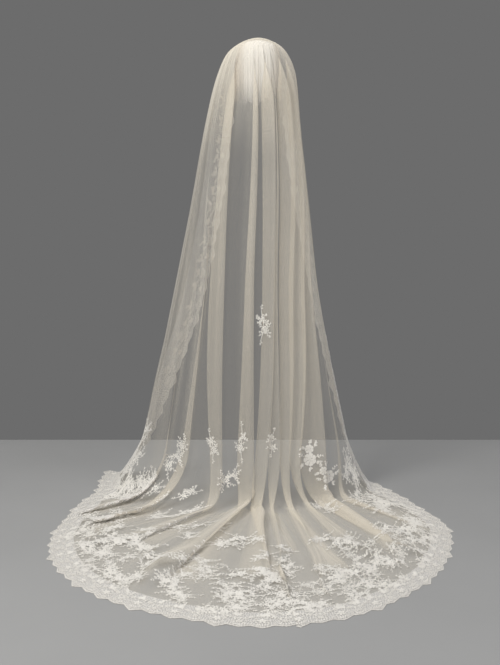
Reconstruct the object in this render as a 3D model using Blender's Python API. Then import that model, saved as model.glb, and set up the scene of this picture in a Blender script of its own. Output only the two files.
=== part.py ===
"""Cathedral bridal veil with a lace edge, hanging from its comb as it is worn and spread on the floor behind.

One sheet of tulle is worked out as a surface: across, it runs from the left lace edge round the back to
the right lace edge, and down, it runs from the comb over the head, down the back and out along the floor.
The long folds of the fall are rows of a table. Each one doubles the sheet back on itself, and opens on the
floor into a low ridge. Metres, +Z up, +Y is the way the wearer faces, and the origin is the comb's seat.
"""

import math
from collections import namedtuple

import bmesh
import bpy
import numpy as np
from mathutils import Matrix, Vector
from mathutils.bvhtree import BVHTree

# Driving sizes
CROWN_HEIGHT = 1.720  # the comb's seat above the floor
WALL = 0.0012  # cloth wall
SEAM = 0.0003  # gap between pieces that meet
MITRE_LEAST = 0.6  # keeps the wall from growing at a tight crease
LACE_WIDTH = 0.095  # lace border, without its teeth
BEND_DOWN, BEND_OUT = 0.135, 0.085  # how roundly the fall turns onto the floor behind the wearer
SIDE_DOWN, SIDE_OUT = 0.050, 0.030  # and beside the wearer, where it slopes out nearly straight
BACK_AZIMUTH, SIDE_AZIMUTH = 58, 78  # where the first way ends and the second is reached
TOOTH_PITCH = 0.066  # pointed scallops of the border
TOOTH_DEPTH = 0.020
TOOTH_DEPTH_SMALL = 0.013
MOTIF_WALL = 0.0012  # raised flower sprays

# Stations down the sheet: 0 comb, 1 neck, 2 waist, 3 knee, 4 where it reaches the floor, 5 hem
KNEE, TOUCH, HEM = 3.0, 4.0, 5.0
RIDGE_END = 4.9  # where the ridges on the floor have run out

# Sections of the fall: height above the floor, half widths, depth behind and in front of the comb, and how much
# lower the cloth lies at the sides, where it rounds over the head
Section = namedtuple("Section", "station height left right behind front droop")
FALL = (
    Section(0.00, 1.7365, 0.056, 0.056, 0.010, 0.010, 0.014),
    Section(0.12, 1.7345, 0.080, 0.080, 0.044, 0.040, 0.026),
    Section(0.30, 1.7060, 0.113, 0.109, 0.084, 0.074, 0.022),
    Section(0.60, 1.6080, 0.154, 0.143, 0.122, 0.100, 0.010),
    Section(1.00, 1.4200, 0.198, 0.160, 0.146, 0.120, 0.0),
    Section(1.50, 1.1070, 0.258, 0.196, 0.184, 0.142, 0.0),
    Section(2.00, 0.7950, 0.322, 0.234, 0.222, 0.158, 0.0),
    Section(2.50, 0.4820, 0.390, 0.292, 0.262, 0.168, 0.0),
    Section(3.00, 0.2090, 0.452, 0.350, 0.300, 0.176, 0.0),
)

# Floor plan: azimuth from straight back, positive to the right, radius where the sheet lands, radius of the hem
Ring = namedtuple("Ring", "azimuth touch hem")
FLOOR = (
    Ring(-110, 0.600, 0.645),
    Ring(-82, 0.585, 0.628),
    Ring(-66, 0.578, 0.730),
    Ring(-55, 0.588, 0.840),
    Ring(-47, 0.595, 0.960),
    Ring(-32, 0.530, 1.180),
    Ring(-19, 0.440, 1.330),
    Ring(-9, 0.395, 1.405),
    Ring(0, 0.415, 1.445),
    Ring(8, 0.438, 1.415),
    Ring(22, 0.430, 1.250),
    Ring(38, 0.415, 1.020),
    Ring(48, 0.430, 0.885),
    Ring(63, 0.460, 0.650),
    Ring(88, 0.455, 0.480),
    Ring(110, 0.450, 0.475),
)

# Long folds, left to right. The middle of each fold at four stations of the fall, in degrees round the level
# section, then its azimuth on the floor. The half widths say how far it doubles back; below zero it lies open.
Fold = namedtuple("Fold", "name comb neck waist knee touch hem half_neck half_waist half_knee depth ridge")
FOLDS = (
    Fold("side", -66, -64, -54, -50, -60, -56, -3, -1, 2, 0.011, 0.019),
    Fold("diagonal", -51, -49, -38, -37, -47, -47, -3, 1.5, 3.6, 0.015, 0.026),
    Fold("left_pleat", -36, -35, -29, -20.5, -25, -31, 8, 7, 4, 0.015, 0.020),
    Fold("centre_tube", -10, -3, -6, -6, -9, -15, 3, 3.2, 4, 0.014, 0.030),
    Fold("centre_pleat", 6, 13, 9, 2.5, -1, -2, 8, 5, 3.6, 0.015, 0.026),
    Fold("kink", 18, 25, 16, 10, 7, 5, -1, 1, 3, 0.011, 0.020),
    Fold("right_pleat", 33, 39, 26, 16.5, 18, 12, 10, 6, 2.6, 0.014, 0.012),
    Fold("right_pleat_outer", 48, 57, 38, 23, 29, 20, 8, 7, 2.8, 0.014, 0.014),
    Fold("broad", 62, 70, 51, 36, 41, 31, -2, 4, 8, 0.014, 0.024),
    Fold("corner", 75, 80, 66, 61, 55, 43, -2, -2, -1, 0.007, 0.014),
)
HALF_COMB, HALF_CROWN, HALF_TOUCH, HALF_HEM = -2.5, -1.5, -1.2, -2.0

# The plain parts of the sheet beside the folds: edge of the cloth, and the silhouette at each side
Side = namedtuple("Side", "name comb neck waist knee touch hem")
LEFT_EDGE = Side("left_edge", -99, -148, -140, -112, -106, -107)
LEFT_SIDE = Side("left_side", -80, -86, -82, -76, -75, -75)
RIGHT_SIDE = Side("right_side", 84, 89, 78, 72, 70, 70)
RIGHT_EDGE = Side("right_edge", 99, 138, 119, 102, 91, 89)

# How much of a fold's depth there is at each station
FOLD_DEPTH = ((0.0, 0.03), (0.3, 0.25), (0.6, 0.6), (1.0, 0.9), (2.0, 1.05), (3.0, 1.3))
OPEN_HALF = -2.5  # half width in degrees of a fold that lies quite open
TURN_HALF = -0.5  # half width from which its two creases are fully turned
FLOOR_TURN = 0.9  # how far they still are turned where the fold lands
FLOOR_UNDER = 0.1  # height of its under crease there, as a share of the ridge
CREASE_ROUND = 1.35  # how full the round creases are
BAND_STEPS = 16  # steps in which the lace's width is laid off along the cloth

# Raised flower sprays. On the fall the place is x and height, on the train it is x and y.
Spray = namedtuple("Spray", "name where x other length width turn")
SPRAYS = (
    Spray("spray_waist", "fall", 0.014, 0.672, 0.105, 0.048, 4),
    Spray("spray_tube", "fall", -0.062, 0.240, 0.110, 0.034, -4),
    Spray("spray_kink", "fall", 0.052, 0.238, 0.080, 0.030, 10),
    Spray("spray_pleat", "fall", -0.174, 0.224, 0.090, 0.034, -6),
    Spray("spray_diagonal", "fall", -0.308, 0.172, 0.140, 0.052, 24),
    Spray("rose_upper", "fall", 0.196, 0.178, 0.090, 0.078, 12),
    Spray("rose_lower", "fall", 0.262, 0.100, 0.084, 0.074, -20),
    Spray("spray_train_1", "train", -0.285, -0.590, 0.210, 0.110, 62),
    Spray("spray_train_2", "train", -0.465, -0.730, 0.220, 0.120, 48),
    Spray("spray_train_3", "train", -0.300, -0.930, 0.230, 0.120, 74),
    Spray("spray_train_4", "train", -0.070, -0.760, 0.200, 0.120, 82),
    Spray("spray_train_5", "train", 0.010, -1.060, 0.240, 0.130, 95),
    Spray("spray_train_6", "train", 0.260, -0.720, 0.200, 0.110, 112),
    Spray("spray_train_7", "train", 0.455, -0.620, 0.170, 0.100, 128),
    Spray("spray_train_8", "train", 0.290, -1.020, 0.230, 0.120, 108),
)
PRISM_REACH = 0.06  # how far an outline is swept through the cloth each way
SPRAY_POINTS = 20
SPRAY_LOBES = 5

# Short tier of gathered tulle under the sheet, behind the head
TIER_HALF_WIDTH = 0.086
TIER_DEPTH = 0.088
TIER_TOP, TIER_FOOT = 1.7300, 1.500
TIER_TOP_HALF, TIER_TOP_DEPTH = 0.0488, 0.0052  # where it is gathered round the comb's spine
TIER_WAVES = 11
TIER_WAVE = 0.0045
TIER_EDGE_WAVE = 0.010
TIER_SPREAD = math.radians(104)

# Gathered heading and comb
HEADING_HALF = 0.0557
HEADING_DEPTH = 0.0097
HEADING_HEIGHT = 0.0045
HEADING_LEVEL = 1.7371
HEADING_END = 0.985  # where its ends are cut, as a share of its half width
CROWN_DROOP = 0.014  # how much lower comb and heading lie at their ends, curved to the head
COMB_HALF = 0.047
COMB_THICKNESS = 0.0022
COMB_SPINE = 0.007
COMB_TEETH = 14
COMB_TOOTH_LENGTH = 0.040
COMB_LEAN = math.radians(38)

COLOURS = {
    "tulle": (0.62, 0.57, 0.48),
    "tier": (0.80, 0.75, 0.66),
    "lace": (0.80, 0.75, 0.67),
    "comb": (0.62, 0.58, 0.50),
}


def clear_scene():
    for item in list(bpy.data.objects):
        bpy.data.objects.remove(item, do_unlink=True)


def material(name):
    """A plain Principled material in one of the veil's colours, made once."""
    found = bpy.data.materials.get(name)
    if found:
        return found
    made = bpy.data.materials.new(name)
    made.use_nodes = True
    shader = made.node_tree.nodes["Principled BSDF"]
    shader.inputs["Base Color"].default_value = (*COLOURS[name], 1.0)
    shader.inputs["Roughness"].default_value = 0.35 if name == "comb" else 0.8
    shader.inputs["Metallic"].default_value = 0.0
    return made


def smooth_table(places, values, at):
    """Values between the rows of a table, smooth and with no overshoot (monotone cubic)."""
    places = np.asarray(places, float)
    values = np.asarray(values, float).reshape(len(places), -1)
    step = np.diff(places)[:, None]
    slope = np.diff(values, axis=0) / step
    tangent = np.zeros_like(values)
    product = slope[:-1] * slope[1:]
    total = np.where(np.abs(slope[:-1] + slope[1:]) < 1e-12, 1.0, slope[:-1] + slope[1:])
    tangent[1:-1] = np.where(product > 0, 2.0 * product / total, 0.0)
    tangent[0], tangent[-1] = slope[0], slope[-1]
    at = np.clip(np.atleast_1d(np.asarray(at, float)), places[0], places[-1])
    row = np.clip(np.searchsorted(places, at, side="right") - 1, 0, len(places) - 2)
    part = ((at - places[row])[:, None]) / step[row]
    return hermite(values[row], values[row + 1], tangent[row] * step[row], tangent[row + 1] * step[row], part)


def hermite(start, end, start_slope, end_slope, part):
    square, cube = part**2, part**3
    return (
        start * (2 * cube - 3 * square + 1)
        + end * (3 * square - 2 * cube)
        + start_slope * (cube - 2 * square + part)
        + end_slope * (cube - square)
    )


def eased(value):
    value = np.clip(value, 0.0, 1.0)
    return value * value * (3 - 2 * value)


def section(station):
    """Height, half axes and droop of the section at a station of the fall."""
    rows = [row[1:] for row in FALL]
    return smooth_table([row.station for row in FALL], rows, station)[0]


def ring(azimuth):
    """Landing and hem radius at an azimuth in degrees."""
    return smooth_table([row.azimuth for row in FLOOR], [row[1:] for row in FLOOR], azimuth).T


def angle_at(row, station):
    """A table row's angle at a station: degrees round the section above the knee, azimuth on the floor."""
    if station <= KNEE:
        return smooth_table((0, 1, 2, 3), (row.comb, row.neck, row.waist, row.knee), station)[0, 0]
    return row.touch if station < HEM else row.hem


def half_width_at(fold, station):
    if station <= KNEE:
        halves = (HALF_COMB, HALF_CROWN, fold.half_neck, fold.half_waist, fold.half_knee)
        return smooth_table((0, 0.75, 1.1, 2, 3), halves, station)[0, 0]
    return HALF_TOUCH if station < HEM else HALF_HEM


def edge_band(edge_angle, station, toward):
    """Angle that lies one lace width inside an edge, measured along the cloth."""
    if station > KNEE:
        radius = ring(edge_angle)[0 if station < HEM else 1][0]
        return edge_angle + toward * math.degrees(LACE_WIDTH / radius)
    _, left, right, behind, front, _ = section(station)
    width = LACE_WIDTH * eased(0.06 + station / 1.1)
    side = left if toward > 0 else right
    inner = math.radians(edge_angle)
    for _ in range(BAND_STEPS):
        depth = front if abs(inner) > math.pi / 2 else behind
        speed = math.hypot(side * math.cos(inner), depth * math.sin(inner))
        inner += toward * width / BAND_STEPS / speed
    return math.degrees(inner)


def control_row(station):
    """Angle, rise, and their slopes at every control line of the sheet, left to right, at one station.

    Rise is how far the cloth stands off the plain section, or above the floor, as a share of depth.
    """
    left_edge = angle_at(LEFT_EDGE, station)
    right_edge = angle_at(RIGHT_EDGE, station)
    left_side = angle_at(LEFT_SIDE, station)
    right_side = angle_at(RIGHT_SIDE, station)
    centres = [angle_at(fold, station) for fold in FOLDS]
    between = [left_side] + centres + [right_side]
    middles = [(a + b) / 2 for a, b in zip(between, between[1:])]
    angles = [left_edge, edge_band(left_edge, station, 1), left_side]
    rises, turned = [0.0] * 3, [0.0] * 3
    on_floor = station > KNEE
    share = 1.0 if on_floor else float(smooth_table(*zip(*FOLD_DEPTH), station)[0, 0])
    for fold, centre, middle in zip(FOLDS, centres, middles):
        half = half_width_at(fold, station)
        state = float(eased((half - OPEN_HALF) / (TURN_HALF - OPEN_HALF)))
        if on_floor:
            state = FLOOR_TURN if station < HEM else 0.0
            top, under = fold.ridge, FLOOR_UNDER * fold.ridge
        else:
            top = fold.depth * share * (0.35 + 0.65 * state)
            under = -0.7 * top
        angles += [middle, centre + half, centre - half]
        rises += [0.0, top, under]
        turned += [0.0, state, state]
    angles += [middles[-1], right_side, edge_band(right_edge, station, -1), right_edge]
    rises += [0.0] * 4
    turned += [0.0] * 4
    angles, rises, turned = np.array(angles), np.array(rises), np.array(turned)
    angle_slope = np.gradient(angles)
    angle_slope = np.where(turned > 0, angle_slope * (1 - turned), angle_slope)
    rise_slope = np.zeros(len(angles))
    for index in range(3, len(angles) - 4, 3):
        drop = rises[index + 2] - rises[index + 1]
        rise_slope[index + 1] = CREASE_ROUND * drop * turned[index + 1]
        rise_slope[index + 2] = CREASE_ROUND * drop * turned[index + 2]
    return angles, rises, np.maximum(angle_slope, 0.0), rise_slope


def across(station, columns):
    """Angle in radians and rise of the sheet at one station, at fractional control lines."""
    angles, rises, angle_slope, rise_slope = control_row(station)
    low = np.clip(np.floor(columns).astype(int), 0, len(angles) - 2)
    part = columns - low
    angle = hermite(angles[low], angles[low + 1], angle_slope[low], angle_slope[low + 1], part)
    rise = hermite(rises[low], rises[low + 1], rise_slope[low], rise_slope[low + 1], part)
    return np.radians(angle), rise


def fall_points(station, columns):
    height, left, right, behind, front, droop = section(station)
    angle, rise = across(station, columns)
    width = np.where(angle < 0, left, right)
    depth = np.where(np.abs(angle) > math.pi / 2, front, behind)
    x = (width + rise) * np.sin(angle)
    y = -(depth + rise) * np.cos(angle)
    z = height - droop * np.where(np.abs(angle) < math.pi / 2, np.sin(angle) ** 2, 1.0)
    return np.stack([x, y, z], axis=1)


def floor_line(station, columns):
    """Points of the landing line or of the hem, in plan, and the ridge heights there."""
    angle, rise = across(station, columns)
    radius = ring(np.degrees(angle))[0 if station < HEM else 1]
    return np.stack([radius * np.sin(angle), -radius * np.cos(angle)], axis=1), np.maximum(rise, 0.0)


def lower_points(stations, columns):
    """Under side of the sheet below the knee, at one station for each column: the bend, then the floor."""
    landing, ridge = floor_line(TOUCH, columns)
    hem, _ = floor_line(HEM, columns)
    outward = hem - landing
    outward /= np.linalg.norm(outward, axis=1)[:, None]
    knee = fall_points(KNEE, columns)
    down = knee - fall_points(KNEE - 0.05, columns)
    down /= np.linalg.norm(down, axis=1)[:, None]
    touch = np.column_stack([landing, ridge])
    azimuth = np.degrees(np.abs(np.arctan2(landing[:, 0], -landing[:, 1])))
    side = eased((azimuth - BACK_AZIMUTH) / (SIDE_AZIMUTH - BACK_AZIMUTH))[:, None]
    bend_down = BEND_DOWN + (SIDE_DOWN - BEND_DOWN) * side
    bend_out = BEND_OUT + (SIDE_OUT - BEND_OUT) * side
    before = np.column_stack([landing - outward * bend_out, ridge])
    t = np.clip(stations - KNEE, 0, 1)[:, None]
    bend = knee * (1 - t) ** 3 + (knee + down * bend_down) * 3 * t * (1 - t) ** 2
    bend += before * 3 * t * t * (1 - t) + touch * t**3
    t = (stations - TOUCH) / (HEM - TOUCH)
    height = ridge * (1 - eased((stations - TOUCH) / (RIDGE_END - TOUCH)))
    floor = np.column_stack([landing + (hem - landing) * t[:, None], height])
    return np.where((stations < TOUCH)[:, None], bend, floor)


def lace_station(columns):
    """The station at which each column comes to within a lace width of the hem."""
    tries = np.linspace(HEM, KNEE + 0.3, 70)
    found = np.full(len(columns), tries[-1])
    run = np.zeros(len(columns))
    last = lower_points(np.full(len(columns), HEM), columns)
    for before, station in zip(tries, tries[1:]):
        point = lower_points(np.full(len(columns), station), columns)
        step = np.linalg.norm(point - last, axis=1)
        hit = (run < LACE_WIDTH) & (run + step >= LACE_WIDTH)
        found[hit] = before + (station - before) * ((LACE_WIDTH - run) / step)[hit]
        run, last = run + step, point
    return found


def sheet_points(columns, upper_rows, lower_rows, lace_rows):
    """Under side of the sheet as an array [column, row, xyz].

    Upper rows are stations. Lower rows are shares of the way from the last of these to the hem's lace,
    and lace rows are shares of the way from there to the hem.
    """
    rows = [fall_points(station, columns) for station in upper_rows if station <= KNEE]
    start = upper_rows[-1]
    rows += [lower_points(np.full(len(columns), station), columns) for station in upper_rows if station > KNEE]
    seam = lace_station(columns)
    rows += [lower_points(start + (seam - start) * share, columns) for share in lower_rows]
    rows += [lower_points(seam + (HEM - seam) * share, columns) for share in lace_rows]
    return np.stack(rows, axis=1)


def unit(vectors):
    return vectors / np.linalg.norm(vectors, axis=-1, keepdims=True)


def surface_normals(points):
    """Outward normals of a grid of points [column, row, xyz], longer at a crease so the wall keeps its thickness."""
    span = unit(np.diff(points, axis=0))
    down = unit(np.gradient(points, axis=1))
    before = unit(np.cross(down, np.concatenate([span[:1], span])))
    after = unit(np.cross(down, np.concatenate([span, span[-1:]])))
    together = np.sum(before * after, axis=2, keepdims=True)
    return (before + after) / np.maximum(1 + together, MITRE_LEAST)


def add_object(name, mesh, look, smooth=True):
    mesh.materials.append(material(look))
    made = bpy.data.objects.new(name, mesh)
    bpy.context.scene.collection.objects.link(made)
    if smooth:
        mesh.shade_smooth()
        mesh.set_sharp_from_angle(angle=math.radians(50))
    return made


def place(points):
    """Heights above the floor become heights from the comb's seat."""
    points = np.array(points, float).reshape(-1, 3)
    points[:, 2] -= CROWN_HEIGHT
    return [tuple(p) for p in points]


def grid_triangles(columns, rows, flip, offset):
    faces = []
    for i in range(columns - 1):
        for j in range(rows - 1):
            a = offset + i * rows + j
            b, c, d = a + rows, a + rows + 1, a + 1
            pair = [(a, d, c), (a, c, b)]
            faces += [f[::-1] if flip else f for f in pair]
    return faces


def wall_object(name, under, over, look):
    """A closed wall between two grids of points [column, row, xyz]; over is the outer side."""
    columns, rows = under.shape[:2]
    count = columns * rows
    faces = grid_triangles(columns, rows, False, count) + grid_triangles(columns, rows, True, 0)
    rim = [i * rows for i in range(columns)]
    rim += [(columns - 1) * rows + j for j in range(1, rows)]
    rim += [i * rows + rows - 1 for i in range(columns - 2, -1, -1)]
    rim += list(range(rows - 2, 0, -1))
    for a, b in zip(rim, rim[1:] + rim[:1]):
        if a < b:
            faces += [(a, a + count, b + count), (a, b + count, b)]
        else:
            faces += [(a, a + count, b), (a + count, b + count, b)]
    mesh = bpy.data.meshes.new(name)
    mesh.from_pydata(place(np.concatenate([under.reshape(-1, 3), over.reshape(-1, 3)])), [], faces)
    mesh.update()
    return add_object(name, mesh, look)


def drawn_in(grid, along_columns, along_rows, borders):
    """The same grid with its borders moved in by the given distances.

    The directions across and down are shared by the pieces on both sides of a seam, so its two walls stay parallel.
    """
    grid = grid.copy()
    grid[0] += along_columns[0] * borders.get("first_column", 0)
    grid[-1] -= along_columns[-1] * borders.get("last_column", 0)
    grid[:, 0] += along_rows[:, 0] * borders.get("first_row", 0)
    grid[:, -1] -= along_rows[:, -1] * borders.get("last_row", 0)
    return grid


# Grid of the sheet: columns between the plain control lines and round each fold, and the rows
SPANS_LACE, SPANS_FRONT, SPANS_PLAIN = 1, 4, 2
FOLD_COLUMNS = (0, 0.5, 0.88, 1.12, 1.88, 2.12, 2.5)
UPPER_ROWS = (0, 0.12, 0.3, 0.55, 0.8, 1.0, 1.4, 1.8, 2.2, 2.6, 3.0, 3.3)
LOWER_ROWS = (0.15, 0.3, 0.45, 0.58, 0.72, 0.86, 1.0)
LACE_ROWS = (0.5, 1.0)
NECK_ROW = UPPER_ROWS.index(1.0)
WAIST_ROW = UPPER_ROWS.index(1.8)
KNEE_ROW = UPPER_ROWS.index(3.0)
SEAM_ROW = len(UPPER_ROWS) + len(LOWER_ROWS) - 1


def sheet_columns():
    """Fractional control lines of the grid's columns, with none on a crease itself."""
    start, end = 3, 3 + 3 * len(FOLDS)
    plain = ((0, SPANS_LACE), (1, SPANS_FRONT), (2, SPANS_PLAIN))
    columns = [line + k / count for line, count in plain for k in range(count)]
    columns += [line + share for line in range(start, end, 3) for share in FOLD_COLUMNS]
    plain = ((end, SPANS_PLAIN), (end + 1, SPANS_FRONT), (end + 2, SPANS_LACE))
    columns += [line + k / count for line, count in plain for k in range(count)]
    return np.array(columns + [end + 3.0])


def column_at(columns, line):
    return int(np.argmin(np.abs(columns - line)))


def fold_line(fold_name):
    """Control line that runs just left of a fold."""
    return 3 + 3 * [fold.name for fold in FOLDS].index(fold_name)


def make_sheet(under, over, columns):
    """Stretches of the one sheet: crown, four falls and four trains, inside its lace border."""
    first, last = column_at(columns, 1), column_at(columns, columns[-1] - 1)
    cuts = [first, column_at(columns, fold_line("left_pleat")), column_at(columns, fold_line("centre_tube")),
            column_at(columns, fold_line("right_pleat")), last]
    names = ("left", "back_left", "back_right", "right")

    normals = surface_normals(under)
    span = unit(np.diff(under, axis=0))
    span = np.concatenate([span[:1], span]) + np.concatenate([span, span[-1:]])
    along_columns = unit(np.cross(normals, np.gradient(under, axis=1)))
    along_rows = unit(np.cross(span, normals))

    def stretch(name, i0, i1, j0, j1):
        borders = {
            "first_column": SEAM if i0 == first else SEAM / 2,
            "last_column": SEAM if i1 == last else SEAM / 2,
            "first_row": SEAM / 2 if j0 > 0 else 0,
            "last_row": SEAM if j1 == SEAM_ROW else SEAM / 2,
        }
        part = (slice(i0, i1 + 1), slice(j0, j1 + 1))
        walls = [drawn_in(side[part], along_columns[part], along_rows[part], borders) for side in (under, over)]
        wall_object(name, walls[0], walls[1], "tulle")

    stretch("tulle_crown", first, last, 0, NECK_ROW)
    for name, i0, i1 in zip(names, cuts, cuts[1:]):
        stretch("tulle_fall_" + name, i0, i1, NECK_ROW, KNEE_ROW)
        stretch("tulle_train_" + name, i0, i1, KNEE_ROW, SEAM_ROW)


def tooth_offsets(length):
    """Places along a border and how far its pointed scallops stand out there, big and small in turn."""
    count = max(2, round(length / TOOTH_PITCH))
    places, offsets = [0.0], [0.0]
    for k in range(count):
        depth = TOOTH_DEPTH if k % 2 == 0 else TOOTH_DEPTH_SMALL
        places += [(k + 0.5) / count * length, (k + 1) / count * length]
        offsets += [depth, 0.0]
    return np.array(places), np.array(offsets)


def lace_strip(name, sides, last_gap=SEAM / 2):
    """Lace wall over two grids [point, row, xyz] from its seam row to its edge row, with teeth on the edge."""
    step = np.linalg.norm(np.diff(sides[0][:, -1], axis=0), axis=1)
    run = np.concatenate([[0.0], np.cumsum(step)])
    places, offsets = tooth_offsets(run[-1])
    samples = np.unique(np.concatenate([run, places]))
    samples = samples[np.concatenate([[True], np.diff(samples) > 0.002])]
    samples[-1] = run[-1]
    reach = np.interp(samples, places, offsets)[:, None]
    walls = []
    for side in sides:
        rows = [np.stack([np.interp(samples, run, row[:, k]) for k in range(3)], axis=1)
                for row in side.transpose(1, 0, 2)]
        rows[-1] = rows[-1] + unit(rows[-1] - rows[-2]) * reach
        walls.append(np.stack(rows, axis=1))
    along = unit(np.gradient(walls[0], axis=0))
    gaps = {"first_column": SEAM / 2, "last_column": last_gap}
    walls = [drawn_in(wall, along, along, gaps) for wall in walls]
    return wall_object(name, walls[0], walls[1], "lace")


def make_lace(under, over, columns):
    """The border: two lengths up each edge and four along the hem, which take in the corners."""
    first, last = column_at(columns, 1), column_at(columns, columns[-1] - 1)
    start = UPPER_ROWS.index(0.12)
    cuts = [0, column_at(columns, fold_line("left_pleat")), column_at(columns, fold_line("centre_pleat")),
            column_at(columns, fold_line("right_pleat_outer")), len(columns) - 1]
    for name, i0, i1 in zip(("left", "back_left", "back_right", "right"), cuts, cuts[1:]):
        lace_strip("hem_lace_" + name, [side[i0:i1 + 1, SEAM_ROW:] for side in (under, over)])
    for part, j0, j1 in (("upper", start, WAIST_ROW), ("lower", WAIST_ROW, SEAM_ROW)):
        down = range(j0, j1 + 1)
        left = [side[first::-1][:, down].transpose(1, 0, 2) for side in (under, over)]
        lace_strip("edge_lace_left_" + part, left)
        right = [side[last:][:, down[::-1]].transpose(1, 0, 2) for side in (under, over)]
        lace_strip("edge_lace_right_" + part, right, SEAM)


def spray_outline(length, width):
    """A leafy outline along X: lobes round a pointed oval."""
    turns = [2 * math.pi * k / SPRAY_POINTS for k in range(SPRAY_POINTS)]
    outline = []
    for turn in turns:
        reach = 0.84 + 0.16 * math.cos(SPRAY_LOBES * turn)
        outline.append((length / 2 * math.cos(turn) * reach, width / 2 * math.sin(turn) * reach))
    return outline


def layer_of(columns, column):
    """First and last column of the outer layer of cloth, between two creases, that a column lies in."""
    line = columns[column]
    starts = [1.0] + [3 * k + 5.12 for k in range(len(FOLDS))]
    ends = [3 * k + 3.88 for k in range(len(FOLDS))] + [columns[-1] - 1]
    start, end = min(zip(starts, ends), key=lambda layer: max(layer[0] - line, line - layer[1]))
    return column_at(columns, start), column_at(columns, end)


def prism_object(name, outline, centre, look_along, turn):
    """A closed prism whose outline stands square to a direction through a point."""
    across = Vector((1, 0, 0))
    upward = look_along.cross(across).normalized()
    made = bmesh.new()
    cos, sin = math.cos(turn), math.sin(turn)
    near = []
    for u, v in outline:
        flat = across * (u * cos - v * sin) + upward * (u * sin + v * cos)
        near.append(made.verts.new(centre + flat - look_along * PRISM_REACH))
    face = made.faces.new(near)
    grown = bmesh.ops.extrude_face_region(made, geom=[face])
    far = [v for v in grown["geom"] if isinstance(v, bmesh.types.BMVert)]
    bmesh.ops.translate(made, verts=far, vec=look_along * 2 * PRISM_REACH)
    bmesh.ops.recalc_face_normals(made, faces=made.faces)
    mesh = bpy.data.meshes.new(name)
    made.to_mesh(mesh)
    made.free()
    cutter = bpy.data.objects.new(name, mesh)
    bpy.context.scene.collection.objects.link(cutter)
    return cutter


def make_sprays(under, normals, columns):
    """Raised sprays: each follows the layer of cloth under it, a seam gap above, inside its own outline."""
    over = under + normals * WALL
    rows = over.shape[1]
    tree = BVHTree.FromPolygons(place(over.reshape(-1, 3)), grid_triangles(len(columns), rows, False, 0))
    for spray in SPRAYS:
        if spray.where == "fall":
            start, along = Vector((spray.x, -2.0, spray.other - CROWN_HEIGHT)), Vector((0, 1, 0))
        else:
            start, along = Vector((spray.x, spray.other, 0.1 - CROWN_HEIGHT)), Vector((0, 0, -1))
        hit, _, triangle, _ = tree.ray_cast(start, along)
        column, row = divmod(triangle // 2, rows - 1)
        if spray.where == "fall":
            i0, i1 = layer_of(columns, column)
        else:
            i0, i1 = max(column - 12, column_at(columns, 1)), min(column + 12, column_at(columns, columns[-1] - 1))
        j0, j1 = max(row - 4, NECK_ROW), min(row + 4, SEAM_ROW)
        part = (slice(i0, i1 + 1), slice(j0, j1 + 1))
        low = over[part] + normals[part] * SEAM
        made = wall_object(spray.name, low, low + normals[part] * MOTIF_WALL, "lace")
        outline = spray_outline(spray.length, spray.width)
        cutter = prism_object(spray.name + "_outline", outline, hit, along, math.radians(90 - spray.turn))
        keep = made.modifiers.new("outline", "BOOLEAN")
        keep.operation = "INTERSECT"
        keep.object = cutter
        bpy.context.view_layer.update()
        seen = made.evaluated_get(bpy.context.evaluated_depsgraph_get())
        cut = bpy.data.meshes.new_from_object(seen)
        made.modifiers.clear()
        made.data = cut
        bpy.data.objects.remove(cutter, do_unlink=True)


def crown_drop(x):
    """How much lower the gathered heading and the comb lie at a distance from their middle."""
    return CROWN_DROOP * (x / HEADING_HALF) ** 2


def make_tier():
    """Short under tier: gathered at the comb, rounded behind the head, with a waved free edge."""
    columns, rows = 4 * TIER_WAVES + 1, 6
    angle = np.linspace(-TIER_SPREAD, TIER_SPREAD, columns)
    points = np.zeros((columns, rows, 3))
    for j in range(rows):
        down = j / (rows - 1)
        shape = math.sqrt(1 - (1 - min(1.0, down / 0.72)) ** 2)
        half = TIER_TOP_HALF + (TIER_HALF_WIDTH - TIER_TOP_HALF) * shape
        depth = TIER_TOP_DEPTH + (TIER_DEPTH - TIER_TOP_DEPTH) * shape
        wave = TIER_WAVE * down * np.cos(angle / TIER_SPREAD * math.pi * TIER_WAVES)
        height = TIER_TOP + (TIER_FOOT - TIER_TOP) * down**1.5
        drop = TIER_EDGE_WAVE * max(0.0, down - 0.6) / 0.4
        uneven = np.cos(angle * 2.1 + 0.7) + 0.5 * np.cos(angle * 9.0)
        points[:, j, 0] = (half + wave) * np.sin(angle)
        points[:, j, 1] = -(depth + wave) * np.cos(angle)
        rounded = crown_drop(TIER_TOP_HALF * np.sin(angle)) * (1 - down)
        points[:, j, 2] = height - drop * uneven - rounded
    over = points + surface_normals(points) * WALL
    wall_object("under_tier", points, over, "tier")


def make_heading():
    """Gathered heading where sheet and tier are bunched together and sewn to the comb."""
    rings, sides, gathers = 25, 8, 12
    made = bmesh.new()
    loops = []
    for i in range(rings):
        u = HEADING_END * math.sin(math.pi * (i / (rings - 1) - 0.5))
        swell = math.sqrt(1 - u * u) * (0.94 + 0.06 * math.cos(u * math.pi * gathers))
        loop = []
        for k in range(sides):
            turn = 2 * math.pi * k / sides
            y = HEADING_DEPTH * swell * math.cos(turn)
            z = HEADING_LEVEL - CROWN_HEIGHT + HEADING_HEIGHT * swell * math.sin(turn)
            loop.append(made.verts.new((u * HEADING_HALF, y, z - crown_drop(u * HEADING_HALF))))
        loops.append(loop)
    for near, far in zip(loops, loops[1:]):
        for k in range(sides):
            n = (k + 1) % sides
            made.faces.new((near[k], near[n], far[n], far[k]))
    made.faces.new(loops[0])
    made.faces.new(loops[-1])
    bmesh.ops.recalc_face_normals(made, faces=made.faces)
    mesh = bpy.data.meshes.new("heading")
    made.to_mesh(mesh)
    made.free()
    add_object("heading", mesh, "tier")


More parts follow.
